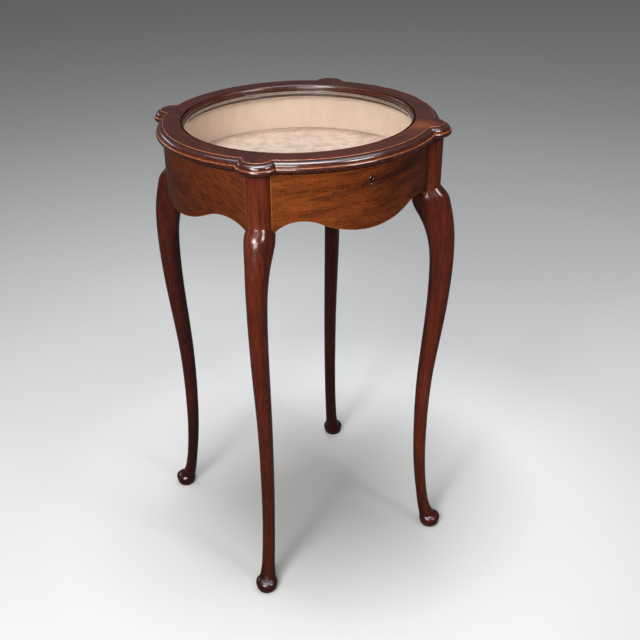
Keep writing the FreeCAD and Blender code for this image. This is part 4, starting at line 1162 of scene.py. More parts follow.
@dataclass(frozen=True)
class CabrioleLegs(SubAssembly):
    """Four legs, each one length of wood with its stile, knee, shank and pad foot."""

    # Height, back and front outside the aprons, width, and the back corners' radius.
    sections: tuple = (
        (0.0140, 0.0195, 0.0490, 0.0290, 0.0130), (0.0270, 0.0164, 0.0401, 0.0245, 0.0108),
        (0.0600, 0.0107, 0.0294, 0.0213, 0.0097), (0.1200, 0.0031, 0.0225, 0.0202, 0.0090),
        (0.2150, -0.0020, 0.0200, 0.0208, 0.0097), (0.3100, -0.0012, 0.0240, 0.0218, 0.0102),
        (0.4100, 0.0050, 0.0354, 0.0240, 0.0112), (0.5000, 0.0076, 0.0426, 0.0257, 0.0120),
        (0.5560, 0.0019, 0.0422, 0.0280, 0.0116), (0.5920, -0.0130, 0.0375, 0.0308, 0.0120),
        (0.6120, -0.0230, 0.0326, 0.0328, 0.0108), (0.6270, -0.0240, 0.0262, 0.0330, 0.0100),
        (0.6370, -0.0240, 0.0168, 0.0280, 0.0098), (0.6446, -0.0240, 0.0110, 0.0230, 0.0096),
    )
    front_flat: float = 0.0008
    # Heights of the lowest rows of points, then start, end and number of the others.
    lowest_rows: tuple = (0.0, 0.0004, 0.0010)
    rows: tuple = ((0.0020, 0.0320, 34), (0.0340, 0.5500, 116), (0.5530, 0.6100, 26), (0.6115, 0.6446, 60))
    points: int = 72
    # Height and radius of the turned pad.
    pad: tuple = (
        (0.0, 0.0139), (0.0006, 0.0145), (0.0025, 0.01535), (0.0055, 0.0165), (0.0090, 0.01745),
        (0.0125, 0.0180), (0.0150, 0.0181), (0.0168, 0.0177), (0.0186, 0.0165), (0.0200, 0.0146),
        (0.0210, 0.0120), (0.0218, 0.0))
    pad_axis: float = 0.2360
    pad_middle: float = 0.2325
    pad_fillet: float = 0.0016
    fillet_top: float = 0.0340
    ankle_low: float = 0.0180
    ankle_rise: float = 0.0200
    # The light line round the foot's rim: wear of the rim, and a painted highlight of the crisp arris that
    # the rounded pad lacks.
    rim_height: float = 0.0157
    rim_spread: float = 0.0011
    rim_wear_and_highlight: float = 0.55
    stile_reach: float = 0.2160
    stile_half: float = 0.0170
    stile_depth: float = 0.0360
    stile_bottom: float = 0.6147
    stile_waist: float = 0.6370
    stile_ease: float = 0.0004
    stile_top_ease: float = 0.0003
    stile_lift: float = 0.12
    board_gap: float = 0.0001
    # Painted light and shade of each leg: its tone at the ankle and at the knee, by how the light falls on
    # that leg, darker on the back legs; then where it darkens: towards the foot, and painted shade on the
    # inner side under the aprons.
    leg_light_and_shade: dict = field(default_factory=lambda: {
        "front_left": (-0.10, 0.07), "front_right": (0.10, 0.0), "back_right": (-0.08, -0.04),
        "back_left": (-0.16, -0.08)})
    leg_light_heights: tuple = (0.015, 0.05, 0.45)
    foot_shade: float = 0.18
    inner_shade: float = 0.28
    inner_shade_width: float = 0.014
    inner_line: tuple = ((0.0, 0.036), (0.21, 0.006), (0.5, 0.020), (0.61, 0.002))
    board_shift: tuple[float, float] = (1.37, 0.31)

    def shank_section(self, numbers: np.ndarray, centre: float, turns: np.ndarray) -> np.ndarray:
        """Reads a section's outline from a middle point.

        Args:
            numbers: back, front, width and corner radius.
            centre: the middle point's distance from the table's axis.
            turns: directions to read, from the front, in radians.

        Returns:
            Distance to the outline in each direction.
        """
        back, front, width, corner = numbers
        half = width / 2.0
        nose = half - self.front_flat
        corner = min(corner, half - 0.0001)
        quarter = np.linspace(0.0, QUARTER, 14)
        out = SHARED.apron_outer
        u = np.concatenate((out + front - nose + nose * np.cos(quarter),
                            out + back + corner - corner * np.sin(quarter)))
        v = np.concatenate((self.front_flat + nose * np.sin(quarter),
                            half - corner + corner * np.cos(quarter)))
        u, v = np.concatenate((u, u[::-1])), np.concatenate((v, -v[::-1]))
        angle = np.arctan2(v, u - centre)
        order = np.argsort(angle)
        return np.interp(turns, angle[order], np.hypot(u - centre, v)[order], period=FULL_TURN)

    def pad_radius(self, height: float) -> float:
        """Returns the pad foot's radius at a height."""
        heights, radii = zip(*self.pad)
        return float(np.interp(height, heights, radii))

    def shank(self) -> tuple[np.ndarray, np.ndarray]:
        """Shapes the leg and foot from the floor to the hidden end behind the stile.

        Returns:
            Points in rows up the leg, along the diagonal, and the wear of each, with the light line round
            the foot's rim that is partly a painted highlight.
        """
        table = np.array(self.sections)
        start = table[0, 0]
        levels = np.concatenate((self.lowest_rows, *(np.linspace(*row) for row in self.rows)))
        shapes = smooth_rows(table[:, 0], table[:, 1:], np.maximum(levels, start))
        turns = full_turn(self.points, -math.pi)
        rows, wear = [], []
        for height, shape in zip(levels, shapes):
            share = min(max((height - self.ankle_low) / self.ankle_rise, 0.0), 1.0)
            share = share * share * (3.0 - 2.0 * share)
            middle = SHARED.apron_outer + (shape[0] + shape[1]) / 2.0
            centre = self.pad_middle * (1.0 - share) + middle * share
            reach = self.shank_section(shape, centre, turns) * float(height >= start)
            if height < self.fillet_top:
                reach = self.blend_foot(reach, height, centre, turns)
            rows.append(together(centre + reach * np.cos(turns), reach * np.sin(turns), height))
            rim = math.exp(-((height - self.rim_height) / self.rim_spread) ** 2) * self.rim_wear_and_highlight
            wear.append(np.full_like(turns, rim))
        return np.array(rows), np.array(wear)

    def blend_foot(self, reach: np.ndarray, height: float, centre: float, turns: np.ndarray) -> np.ndarray:
        """Joins the turned pad to the shank with a small hollow.

        Args:
            reach: the shank's outline from the middle point.
            height: the level.
            centre: the middle point's distance from the table's axis.
            turns: directions.

        Returns:
            The joined outline.
        """
        radius = self.pad_radius(height)
        if radius <= 0.0:
            return reach
        shift = self.pad_axis - centre
        side = shift * np.sin(turns)
        pad = shift * np.cos(turns) + np.sqrt(np.maximum(radius ** 2 - side ** 2, 0.0))
        k = self.pad_fillet
        gap = np.clip(0.5 + 0.5 * (reach - pad) / k, 0.0, 1.0)
        return pad * (1.0 - gap) + reach * gap + k * gap * (1.0 - gap)

    def stile(self) -> np.ndarray:
        """Shapes the stile between the aprons, with its round front.

        Returns:
            Points in rows up the stile, along the diagonal.
        """
        low, top, board = self.stile_bottom, SHARED.case_top, SHARED.board_bottom
        deep, thin = self.stile_reach - self.stile_depth, SHARED.apron_inner + self.board_gap
        nose = self.stile_reach - self.stile_half
        arc = np.linspace(-QUARTER, QUARTER, 41)
        rows = []
        for height, back, inset in (
                (low, deep, self.stile_ease), (low + self.stile_ease, deep, 0.0),
                (self.stile_waist, deep, 0.0), (board - self.board_gap, deep, 0.0),
                (board + self.board_gap, thin, 0.0), (top - self.stile_top_ease, thin, 0.0),
                (top, thin, self.stile_ease)):
            half = self.stile_half - inset
            side, across = np.linspace(nose, back, 8), np.linspace(half, -half, 5)[1:]
            u = np.concatenate((nose + half * np.cos(arc), side[1:], np.full(4, back), side[-2:0:-1]))
            v = np.concatenate((half * np.sin(arc), np.full(7, half), across, np.full(6, -half)))
            rows.append(together(u, v, height))
        return np.array(rows)

    def painted_light_and_shade(self, points: np.ndarray, corner: str) -> np.ndarray:
        """Paints light and shade into the legs' tone: a tone for each leg by how the light falls on it,
        darker on the back legs and towards the foot, and painted shade on the inner sides under the aprons.

        Args:
            points: places, with the diagonal along x.
            corner: the leg's corner.

        Returns:
            The tone of each point.
        """
        x, z = points[..., 0], points[..., 2]
        line = SHARED.apron_outer + np.interp(z, *zip(*self.inner_line))
        inner = np.clip((line - x) / self.inner_shade_width, 0.0, 1.0)
        low, high = self.leg_light_and_shade[corner]
        tone = np.interp(z, self.leg_light_heights, (low - self.foot_shade, low, high))
        return tone - self.inner_shade * inner

    def build(self) -> None:
        """Builds and dresses the four legs."""
        shank, wear = self.shank()
        parts = ((shank, wear, 0.0), (self.stile(), 0.0, self.stile_lift))
        for number, (corner, angle) in enumerate(CORNERS):
            draft = Draft()
            up, across = (shift * number for shift in self.board_shift)
            for points, rub, lift in parts:
                grain = together(points[..., 2] + up, points[..., 1] + across, points[..., 0])
                tone = self.painted_light_and_shade(points, corner) + lift
                draft.loft(turned(points, angle), grain, wear=rub, tone=tone)
            mesh = draft.mesh(f"cabriole_leg_{corner}")
            fit(mesh, self.finishes.leg, "case", "mahogany", f"leg_{corner}")


# ---------------------------------------- aprons


@dataclass(frozen=True)
class Keyhole:
    """The keyhole's outline: a round head over a narrow slot."""

    height: float = 0.6938
    head_radius: float = 0.0020
    slot_width: float = 0.0022
    slot_length: float = 0.0076
    slot_points: tuple = (0.25, 0.5, 0.75, 0.97)
    slot_end: float = 0.8
    thread: float = 0.0008

    def outline(self, out: float) -> np.ndarray:
        """Draws the keyhole.

        Args:
            out: how far it is let out.

        Returns:
            Points in x and z.
        """
        half, radius = self.slot_width / 2.0 + out, self.head_radius + out
        low = -self.slot_length - out
        start = math.asin(half / radius)
        turns = np.linspace(-QUARTER + start, 1.5 * math.pi - start, 31)
        head = [(radius * math.cos(t), radius * math.sin(t)) for t in turns]
        top = head[-1][1]
        sides = [top + (low - top) * share for share in self.slot_points]
        foot = [(-half * self.slot_end, low), (half * self.slot_end, low)]
        points = head + [(-half, z) for z in sides] + foot + [(half, z) for z in reversed(sides)]
        return np.array(points) + np.array((0.0, self.height))


@dataclass(frozen=True)
class Aprons(SubAssembly):
    """Four curved aprons with a shallow lobe between two arches on the lower edge."""

    lobe_drop: float = 0.0879
    arch_drop: float = 0.0661
    arch_offset: float = 0.0940
    arch_radius: float = 0.0500
    spring_radius: float = 0.0380
    shoulder: float = 0.01705
    ease: float = 0.0007
    columns: int = 150
    crowding: float = QUARTER * 0.80
    face_rows: int = 17
    last_face_row: float = 0.975
    foot_wear: float = 0.85
    top_wear: float = 0.6
    end_wear: float = 1.6
    end_reach: float = 0.0016
    end_grime: float = 0.9
    # The lean of each board's grain and where the board was cut. The left one's grain is arched.
    boards: dict = field(default_factory=lambda: {
        "front": (0.07, 0.0), "right": (-0.28, 0.83), "back": (0.12, 1.66)})
    arch_start: float = 0.115
    arch_spread: float = 0.3
    arch_fall: float = 1.35
    # Dark streaks of figure on the front board, then a broad lighter patch at its left end and a darker one
    # at its right, which add to the painted shade across it: middle, height, length, width, lean and tone.
    front_clouds: tuple = (
        (0.030, 0.6905, 0.045, 0.0045, 0.10, -0.32), (0.062, 0.6960, 0.022, 0.0070, 0.25, -0.26),
        (0.012, 0.6800, 0.030, 0.0050, 0.05, -0.14), (-0.100, 0.6700, 0.050, 0.0250, 0.0, 0.07),
        (0.105, 0.6900, 0.030, 0.0100, 0.1, -0.10))
    # Painted shade across the boards, by how the light falls on them: the front darker to the right, the
    # left lighter towards the front.
    front_shade: float = -0.14
    left_shade: float = 0.16
    left_tone: float = -0.02
    shade_reach: float = 0.14

    def lower_edge(self, side: np.ndarray) -> np.ndarray:
        """Draws the lower edge, whose arches have one radius inwards and one outwards.

        Args:
            side: distances from the middle of the apron.

        Returns:
            The edge's height at each.
        """
        crown = SHARED.case_top - self.arch_drop
        fall = self.lobe_drop - self.arch_drop
        arch, offset = self.arch_radius, self.arch_offset
        lobe = (offset ** 2 + (arch - fall) ** 2 - arch ** 2) / (2.0 * fall)
        change = offset * lobe / (lobe + arch)
        y = np.abs(side)
        low = SHARED.case_top - self.lobe_drop + lobe - np.sqrt(lobe ** 2 - np.minimum(y, change) ** 2)
        inner, outer = (crown - r + np.sqrt(np.maximum(r ** 2 - (y - offset) ** 2, 0.0))
                        for r in (arch, self.spring_radius))
        return np.where(y < change, low, np.where(y < offset, inner, outer))

    def laid_grain(self, side: str, along: Mark, up: Mark, depth: Mark) -> tuple[Mark, Mark, Mark]:
        """Lays the board's grain: the left apron's falls away in an arch, the others' leans.

        Args:
            side: the apron.
            along: distance along its face from the middle.
            up: height.
            depth: distance from the table's axis.

        Returns:
            Place along, across and into the grain.
        """
        if side == "left":
            fallen = np.maximum(along + self.arch_start, 0.0)
            return along + fallen * self.arch_spread, up + self.arch_fall * fallen * fallen, depth
        lean, shift = self.boards[side]
        c, s = math.cos(lean), math.sin(lean)
        return c * along + s * up + shift, c * up - s * along, depth

    def figure_and_painted_shade(self, side: str, along: np.ndarray, up: np.ndarray) -> np.ndarray:
        """Tones the board: dark streaks of figure by the keyhole, and painted shade that darkens the front
        apron to the right and lightens the left apron towards the front.

        Args:
            side: the apron.
            along: distance along its face from the middle.
            up: height.

        Returns:
            The tone of each point.
        """
        across = np.clip(along / self.shade_reach, -1.0, 1.0)
        if side == "left":
            return across * self.left_shade + self.left_tone
        if side != "front":
            return along * 0.0
        total = across * self.front_shade
        for middle, height, length, width, lean, amount in self.front_clouds:
            a, b = along - middle, up - height - lean * (along - middle)
            total = total + amount * np.exp(-(a / length) ** 2 - (b / width) ** 2)
        return total

    def column(self, place: float) -> tuple[np.ndarray, np.ndarray, np.ndarray, np.ndarray]:
        """Shapes the section at one place along the apron.

        Args:
            place: from -1 at the left end to 1 at the right.

        Returns:
            Its points, their grain, wear and grime.
        """
        out, inn, top, e = SHARED.apron_outer, SHARED.apron_inner, SHARED.case_top, self.ease
        ends = [EIGHTH - math.asin(self.shoulder / radius) for radius in (out, inn)]
        low_out, low_in = (float(self.lower_edge(np.array(radius * math.sin(place * end))))
                           for radius, end in zip((out, inn), ends))
        face = np.append(np.linspace(0.0, self.last_face_row, self.face_rows)[1:], 1.0)
        loop = [(out - e, top, 0), (out, top - e, 0)]
        loop += [(out, top - e + (low_out + e - top + e) * share, 0) for share in face]
        loop += [(out - 0.3 * e, low_out + 0.3 * e, 0), (out - e, low_out, 0)]
        loop += [(inn + e, low_in, 1), (inn, low_in + e, 1)]
        loop += [(inn, low_in + e + (top - low_in - e) * share, 1) for share in face]
        radius, height, inside = np.array(loop).T
        angle = place * np.where(inside, ends[1], ends[0])
        foot = len(face) + 1
        rub, dark = np.zeros(len(loop)), np.zeros(len(loop))
        rub[foot:foot + 3] = self.foot_wear
        rub[:2] = self.top_wear
        end = self.end_wear - (1.0 - abs(place)) * out * ends[0] / self.end_reach
        rub[1:foot + 1] = np.maximum(rub[1:foot + 1], min(1.0, max(0.0, end)))
        dark[1:foot + 1] = self.end_grime if abs(place) > 0.99999 else 0.0
        return ring_points(radius, angle, height), together(out * angle, height, radius), rub, dark

    def build(self) -> None:
        """Builds and dresses the four aprons."""
        share = np.sin(np.linspace(-1.0, 1.0, self.columns) * self.crowding) / math.sin(self.crowding)
        points, grain, wear, grime = (np.array(rows) for rows in zip(*(self.column(t) for t in share)))
        along, up, depth = grain[..., 0], grain[..., 1], grain[..., 2]
        seats = {"front": self.lock_seat, "back": self.hinge_seats}
        for side, angle in SIDES:
            finish = self.finishes.front_apron if side == "front" else self.finishes.side_apron
            laid = together(*self.laid_grain(side, along, up, depth))
            tone = self.figure_and_painted_shade(side, along, up)
            draft = Draft()
            draft.loft(turned(points, angle), laid, wear=wear, grime=grime, tone=tone)
            mesh = draft.mesh(f"shaped_apron_{side}")
            if side in seats:
                mesh = seats[side]().carve(mesh, self.grain_rule(side, angle))
            fit(mesh, finish, "case", "mahogany", f"apron_{side}")

    def grain_rule(self, side: str, angle: float) -> GrainRule:
        """Makes the rule that gives the grain at a point of one apron.

        Args:
            side: the apron.
            angle: the direction that it faces.

        Returns:
            The rule.
        """
        def rule(point: Vector) -> Triple:
            """Returns the grain at a point."""
            turn = math.remainder(math.atan2(point.y, point.x) - angle, FULL_TURN)
            return self.laid_grain(side, SHARED.apron_outer * turn, point.z, math.hypot(point.x, point.y))
        return rule

    def hinge_seats(self) -> Cutter:
        """Cuts the seats of the hinges' case leaves.

        Returns:
            The cutter.
        """
        cutter = Cutter()
        bottom, top = SHARED.case_top - LEAF_THICKNESS - SEAT_EASE, SHARED.case_top + CUT_PAST
        for node in (f"hinge_{hand}_case_leaf" for hand in HANDS):
            cutter.seat(node, back=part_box(node)[1].y + CUT_PAST, bottom=bottom, top=top)
        return cutter

    def lock_seat(self) -> Cutter:
        """Cuts the seats of the lock and its selvedge, and the keyhole.

        Returns:
            The cutter.
        """
        low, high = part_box("lock_case")
        plate_low, plate_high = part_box("lock_selvedge")
        left, right, bottom = low.x - SEAT_EASE, high.x + SEAT_EASE, low.z - SEAT_EASE
        plate_left, plate_right = plate_low.x - SEAT_EASE, plate_high.x + SEAT_EASE
        ledge, top = plate_low.z - SEAT_EASE, SHARED.case_top + CUT_PAST
        seat = ((left, bottom), (left, ledge), (plate_left, ledge), (plate_left, top),
                (plate_right, top), (plate_right, ledge), (right, ledge), (right, bottom))
        keyhole = Keyhole()
        cutter = Cutter().prism(seat, low.y - SEAT_EASE, -SHARED.apron_inner + CUT_PAST)
        return cutter.prism(keyhole.outline(keyhole.thread + SEAT_EASE)[::-1],
                            -SHARED.apron_outer - CUT_PAST, low.y + SEAT_EASE)


# ---------------------------------------- lid


@dataclass(frozen=True)
class MouldedEdge(SubAssembly):
    """The lid's moulded edge: four runs between the ears and one round each ear, mitred."""

    step_width: float = 0.0016
    step_drop: float = 0.0024
    lip_height: float = 0.0018
    lip_ease: float = 0.00025
    torus_reach: float = 0.0074
    torus_drop: float = 0.0080
    torus_radius: float = 0.0056
    torus_rub: float = 0.25
    quirk: float = 0.0007
    band_edge: float = 0.0089
    band_foot: float = 0.0082
    band_drop: float = 0.0154
    band_radius: float = 0.0043
    band_rub: float = 0.35
    cove_foot: float = 0.0020
    cove_radius: float = 0.0065
    # Painted shade on the cove under the band.
    cove_grime: float = 0.95
    arris: float = 0.0004
    outer_ease: float = 0.0003
    inner_ease: float = 0.0002
    sharp: float = 40.0
    glue_line: float = 0.00003
    board_shift: float = 0.71
    knuckle_room: float = 0.00025
    run_rows: int = 110
    ear_rows: int = 56

    def section(self) -> Section:
        """Draws the section outwards from the upper arris.

        Returns:
            Its points, their wear and their painted shade: in the quirks, and over the whole cove under the
            band.
        """
        top, lip, soft, tight = SHARED.top, SHARED.lip, self.outer_ease, self.inner_ease
        deep, foot = top - self.torus_drop - self.quirk, top - self.band_drop
        outline = Outline(-lip, top).to(0.0, top, self.arris).to(0.0, top - self.lip_height, self.lip_ease)
        outline.to(self.step_width, top - self.step_drop, tight)
        outline.arc(self.torus_reach, top - self.torus_drop, self.torus_radius, False, soft, 12,
                    self.torus_rub)
        outline.to(self.torus_reach - self.quirk, deep, tight).to(self.band_edge, deep, soft)
        outline.arc(self.band_foot, foot, self.band_radius, False, soft, rub=self.band_rub)
        outline.arc(self.cove_foot, SHARED.lid_bottom, self.cove_radius, True, tight)
        points, wear, grime = outline.to(-lip, SHARED.lid_bottom).trace()
        # The whole cove under the band is painted dark as shade, and carries no wear.
        cove = (points[:, 1] < foot - tight) & (points[:, 0] > -lip / 2.0)
        return points, np.where(cove, 0.0, wear), np.where(cove, self.cove_grime, grime)

    def straight(self, rows: int) -> bpy.types.Mesh:
        """Planes a straight length, to be bent round its circle.

        Args:
            rows: number of sections along it.

        Returns:
            The length, from -1 to 1 in y.
        """
        points, wear, grime = self.section()
        along = np.linspace(-1.0, 1.0, rows)[:, None]
        draft = Draft()
        draft.loft(together(points[None, :, 0], along, points[None, :, 1]),
                   together(0.0, run_length(points), 0.0), wear=wear, grime=grime)
        return draft.mesh("straight_moulding", 180.0)

    def bender(self) -> Recipe:
        """Makes the tree that bends the straight length, mitres both ends and copies it.

        A point stands on its own circle, and the mitre is where that circle meets the
        neighbour's circle at the same distance outside its arris.

        Returns:
            The tree.
        """
        r = Recipe("bend_and_mitre_moulding")
        geometry = r.start()
        own, other, apart, reach, shift, facing, glue = (r.ask(name) for name in (
            "Own arris radius", "Neighbour arris radius", "Axes apart", "Angle to the neighbour",
            "Own axis out", "First facing", "Glue line"))
        finish = r.ask("Finish", "NodeSocketMaterial")
        x, y, z = r.out("GeometryNodeInputPosition", {}, {}).parts()
        radius, beside = own + x, other + x
        gain = radius * radius - beside * beside + apart * apart
        meet = (gain / (apart * radius * 2.0)).apply("ARCCOSINE")
        angle = (reach - meet - glue / radius) * y
        bent = r.join(shift + radius * angle.apply("COSINE"), radius * angle.apply("SINE"), z)
        _, across, _ = r.read("grain", "FLOAT_VECTOR").parts()
        marked = r.store(geometry, "grain", r.join(angle * own, across, 0.0), kind="FLOAT_VECTOR")
        shaped = r.out("GeometryNodeSetPosition", {}, {"Geometry": marked, "Position": bent})
        index = r.out("GeometryNodeInputIndex", {}, {})
        seats = r.out("GeometryNodePoints", {}, {"Count": len(SIDES)})
        copies = r.copies(seats, shaped, r.join(0.0, 0.0, facing + index * QUARTER))
        real = r.real(r.store(copies, "side", index * 1.0, "INSTANCE"))
        moved = r.read("grain", "FLOAT_VECTOR") + r.join(r.read("side") * self.board_shift, 0.0, 0.0)
        r.close(r.store(real, "grain", moved, kind="FLOAT_VECTOR"), finish)
        return r

    def grain_at(self, point: Vector) -> Triple:
        """Returns the grain at a point of the back run."""
        return SHARED.arris_radius * math.atan2(-point.x, point.y), SHARED.top - point.z, 0.0

    def knuckle_seats(self) -> Cutter:
        """Cuts the notches over the hinges' knuckles.

        Returns:
            The cutter.
        """
        cutter = Cutter()
        for node in (f"hinge_{hand}_lid_leaf" for hand in HANDS):
            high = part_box(node)[1]
            cutter.seat(node, front=SHARED.apron_inner, back=high.y + self.knuckle_room,
                        bottom=SHARED.lid_bottom - CUT_PAST, top=high.z + self.knuckle_room)
        return cutter

    def build(self) -> None:
        """Builds and dresses the runs and the ears."""
        bender, finish = self.bender(), self.finishes.edge
        for name, rows, arris, neighbour, reach, out, facing, nodes in (
                ("moulding_runs", self.run_rows, SHARED.arris_radius, SHARED.ear_arris, EIGHTH, 0.0,
                 -QUARTER, [f"lid_moulding_{side}" for side, _ in SIDES]),
                ("moulding_ears", self.ear_rows, SHARED.ear_arris, SHARED.arris_radius, math.pi,
                 SHARED.ear_centre, -3 * EIGHTH, [f"lid_ear_{corner}" for corner, _ in CORNERS])):
            mesh = bender.run(name, self.straight(rows), {
                "Own arris radius": arris, "Neighbour arris radius": neighbour,
                "Axes apart": SHARED.ear_centre, "Angle to the neighbour": reach,
                "Own axis out": out, "First facing": facing, "Glue line": self.glue_line,
                "Finish": finish})
            mesh = settle(mesh, self.sharp)
            if name == "moulding_runs":
                mesh = self.knuckle_seats().carve(mesh, self.grain_at, self.sharp)
            fit(mesh, finish, "lid", "mahogany", *nodes)


@dataclass(frozen=True)
class LidFrame(SubAssembly):
    """The flat round frame in four quarters, rebated for the glass."""

    sight_radius: float = 0.1678
    slope: float = 0.0024
    thumb_radius: float = 0.0075
    thumb_ease: float = 0.0005
    land: float = 0.0010
    rebate_top: float = 0.7235
    rebate_radius: float = 0.1735
    ease: float = 0.0003
    inner_rub: float = 0.45
    flat_start: float = 0.0008
    flat_rows: int = 13
    columns: int = 121
    joint: float = 0.00003
    joint_grime: float = 0.55
    arris_grime: float = 0.7
    board_shift: float = 0.53
    # Lighter patches of the frame at the front and front right: x, y, spread and tone.
    pale_spots: tuple = (
        (0.120, -0.142, 0.022, 0.34), (0.085, -0.160, 0.050, 0.12), (-0.060, -0.185, 0.060, 0.10))

    def outer_radius(self, turn: np.ndarray) -> np.ndarray:
        """Draws the frame's outer edge with its ears.

        Args:
            turn: directions from a quarter's middle, in radians.

        Returns:
            The outer radius in each.
        """
        run, ear = SHARED.arris_radius - SHARED.lip, SHARED.ear_arris - SHARED.lip
        beside = EIGHTH - np.abs(turn)
        off = SHARED.ear_centre * np.sin(beside)
        bulge = SHARED.ear_centre * np.cos(beside) + np.sqrt(np.maximum(ear ** 2 - off ** 2, 0.0))
        return np.where(off < ear, np.maximum(bulge, run), run)

    def quarter(self) -> Section:
        """Shapes one quarter whose middle faces +X.

        Returns:
            Its points in rows round the frame, their wear, and their darkening: dark joints between the
            quarters and along the moulding, and painted shade in the rebate's inward corner.
        """
        top, low, ease = SHARED.top, SHARED.lid_bottom, self.ease
        sight, rebate = self.sight_radius, self.rebate_radius
        inner = Outline(rebate, low).to(rebate, self.rebate_top, ease).to(sight, self.rebate_top, ease)
        inner.to(sight, self.rebate_top + self.land, ease)
        inner.arc(sight + self.slope, top, self.thumb_radius, False, self.thumb_ease, 8)
        points, wear, grime = inner.trace()
        run, ear = SHARED.arris_radius - SHARED.lip, SHARED.ear_arris - SHARED.lip
        kink = EIGHTH - math.acos((run ** 2 - ear ** 2 + SHARED.ear_centre ** 2)
                                  / (2.0 * SHARED.ear_centre * run))
        third = self.columns // 3
        turns = np.concatenate((np.linspace(-EIGHTH, -kink, third), np.linspace(-kink, kink, third)[1:-1],
                                np.linspace(kink, EIGHTH, third)))
        flat = np.linspace(0.0, 1.0, self.flat_rows + 1)[1:]
        start = sight + self.slope + self.flat_start
        above, below = np.full(self.flat_rows, top), np.full(self.flat_rows, low)
        rub = np.append(wear * self.inner_rub, np.zeros(2 * self.flat_rows))
        rows, grime_and_shade_share = [], []
        for turn, far in zip(turns, self.outer_radius(turns)):
            at_joint = abs(turn) > EIGHTH - 1e-6
            radius = np.concatenate((points[:, 0], start + (far - start) * flat,
                                     rebate + (far - rebate) * flat[::-1]))
            height = np.concatenate((points[:, 1], above, below))
            angle = turn - np.sign(turn) * (self.joint / radius if at_joint else 0.0)
            rows.append(ring_points(radius, angle, height))
            end = self.joint_grime if at_joint else 0.0
            grime_and_shade_share.append(np.concatenate((np.maximum(grime, end), np.full(self.flat_rows - 1, end),
                                        (self.arris_grime,), 0.0 * below)))
        return np.array(rows), rub, np.array(grime_and_shade_share)

    def lights(self, placed: np.ndarray) -> np.ndarray:
        """Lightens the wood in patches at the front and front right.

        Args:
            placed: points of the frame.

        Returns:
            The tone of each.
        """
        total = np.zeros(placed.shape[:-1])
        for x, y, spread, amount in self.pale_spots:
            away = (placed[..., 0] - x) ** 2 + (placed[..., 1] - y) ** 2
            total = total + amount * np.exp(-away / spread ** 2)
        return total

    def grain_at(self, point: Vector) -> Triple:
        """Finds the grain at a point of the frame.

        Args:
            point: the point.

        Returns:
            Place along, across and into the grain of the quarter that holds it.
        """
        facing = math.atan2(point.y, point.x)
        number, angle = min(((number, angle) for number, (_, angle) in enumerate(SIDES)),
                            key=lambda item: abs(math.remainder(facing - item[1], FULL_TURN)))
        c, s = math.cos(angle), math.sin(angle)
        along = c * point.y - s * point.x + self.board_shift * number
        return along, c * point.x + s * point.y, point.z

    def seats(self) -> Cutter:
        """Cuts the seats of the hinges' lid leaves and of the link plate.

        Returns:
            The cutter.
        """
        cutter = Cutter()
        below, above = SHARED.lid_bottom - CUT_PAST, SHARED.lid_bottom + LEAF_THICKNESS + SEAT_EASE
        for node in (f"hinge_{hand}_lid_leaf" for hand in HANDS):
            cutter.seat(node, back=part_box(node)[1].y, bottom=below, top=above)
        return cutter.seat("lock_link_plate", bottom=below)

    def build(self) -> None:
        """Builds and dresses the frame."""
        points, wear, grime = self.quarter()
        draft = Draft()
        for number, (_, angle) in enumerate(SIDES):
            grain = together(points[..., 1] + self.board_shift * number, points[..., 0], points[..., 2])
            placed = turned(points, angle)
            draft.loft(placed, grain, wear=wear, grime=grime, tone=self.lights(placed))
        mesh = self.seats().carve(draft.mesh("lid_frame"), self.grain_at)
        fit(mesh, self.finishes.ring, "lid", "mahogany", *(f"lid_ring_{side}" for side, _ in SIDES))
        dress(self.finishes.bare, "lid_ring_splines")


@dataclass(frozen=True)
class Glazing(SubAssembly):
    """The round pane and the bead that holds it from below."""

    pane_radius: float = 0.1732
    pane_bottom: float = 0.72045
    pane_thickness: float = 0.0030
    pane_rings: tuple[float, float] = (0.06, 0.12)
    ground_edge: float = 0.0004
    ground_width: float = 0.0012
    bead_inner: float = 0.1678
    bead_outer: float = 0.17345
    bead_height: float = 0.0048
    bead_chamfer: float = 0.0020
    bead_ease: float = 0.0003
    top_ease: float = 0.0002
    seat: float = 0.00005
    steps: int = 144

    def pane(self) -> Draft:
        """Grinds the pane, whose edge carries the mark wear.

        Returns:
            The pane.
        """
        low, high, edge = self.pane_bottom, self.pane_bottom + self.pane_thickness, self.ground_edge
        face = [(radius, 0.0) for radius in (*self.pane_rings, self.pane_radius - self.ground_width)]
        face.append((self.pane_radius - edge, 1.0))
        rings = [(radius, low, mark) for radius, mark in face]
        rings += [(self.pane_radius, low + edge, 1.0), (self.pane_radius, high - edge, 1.0)]
        rings += [(radius, high, mark) for radius, mark in reversed(face)]
        radius, height, wear = np.array(rings).T[..., None]
        grid = ring_points(radius, full_turn(self.steps), height)
        draft = Draft()
        draft.loft(grid, grid, wear=wear)
        return draft

    def bead(self) -> Draft:
        """Turns the bead about the table's axis.

        Returns:
            The bead.
        """
        top = self.pane_bottom - self.seat
        low, inner, outer, ease = top - self.bead_height, self.bead_inner, self.bead_outer, self.bead_ease
        outline = Outline(inner, low + self.bead_chamfer, ease).to(inner, top, self.top_ease)
        outline.to(outer, top).to(outer, low, self.top_ease).to(inner + self.bead_chamfer, low, ease)
        points, wear, grime = outline.trace()
        angle = full_turn(self.steps)[:, None]
        grain = together(angle * float(points[:, 0].max()), run_length(points), 0.0)
        draft = Draft()
        numbers = draft.add(ring_points(points[:, 0], angle, points[:, 1]), grain, wear, grime)
        draft.skin(numbers, around=True, along=True)
        return draft

    def build(self) -> None:
        """Builds and dresses the pane and its bead."""
        fit(self.pane().mesh("glass_disc"), self.finishes.glass, "lid", "glass", "glass_pane")
        fit(self.bead().mesh("glass_bead"), self.finishes.bead, "lid", "mahogany", "glazing_bead")


# ---------------------------------------- well


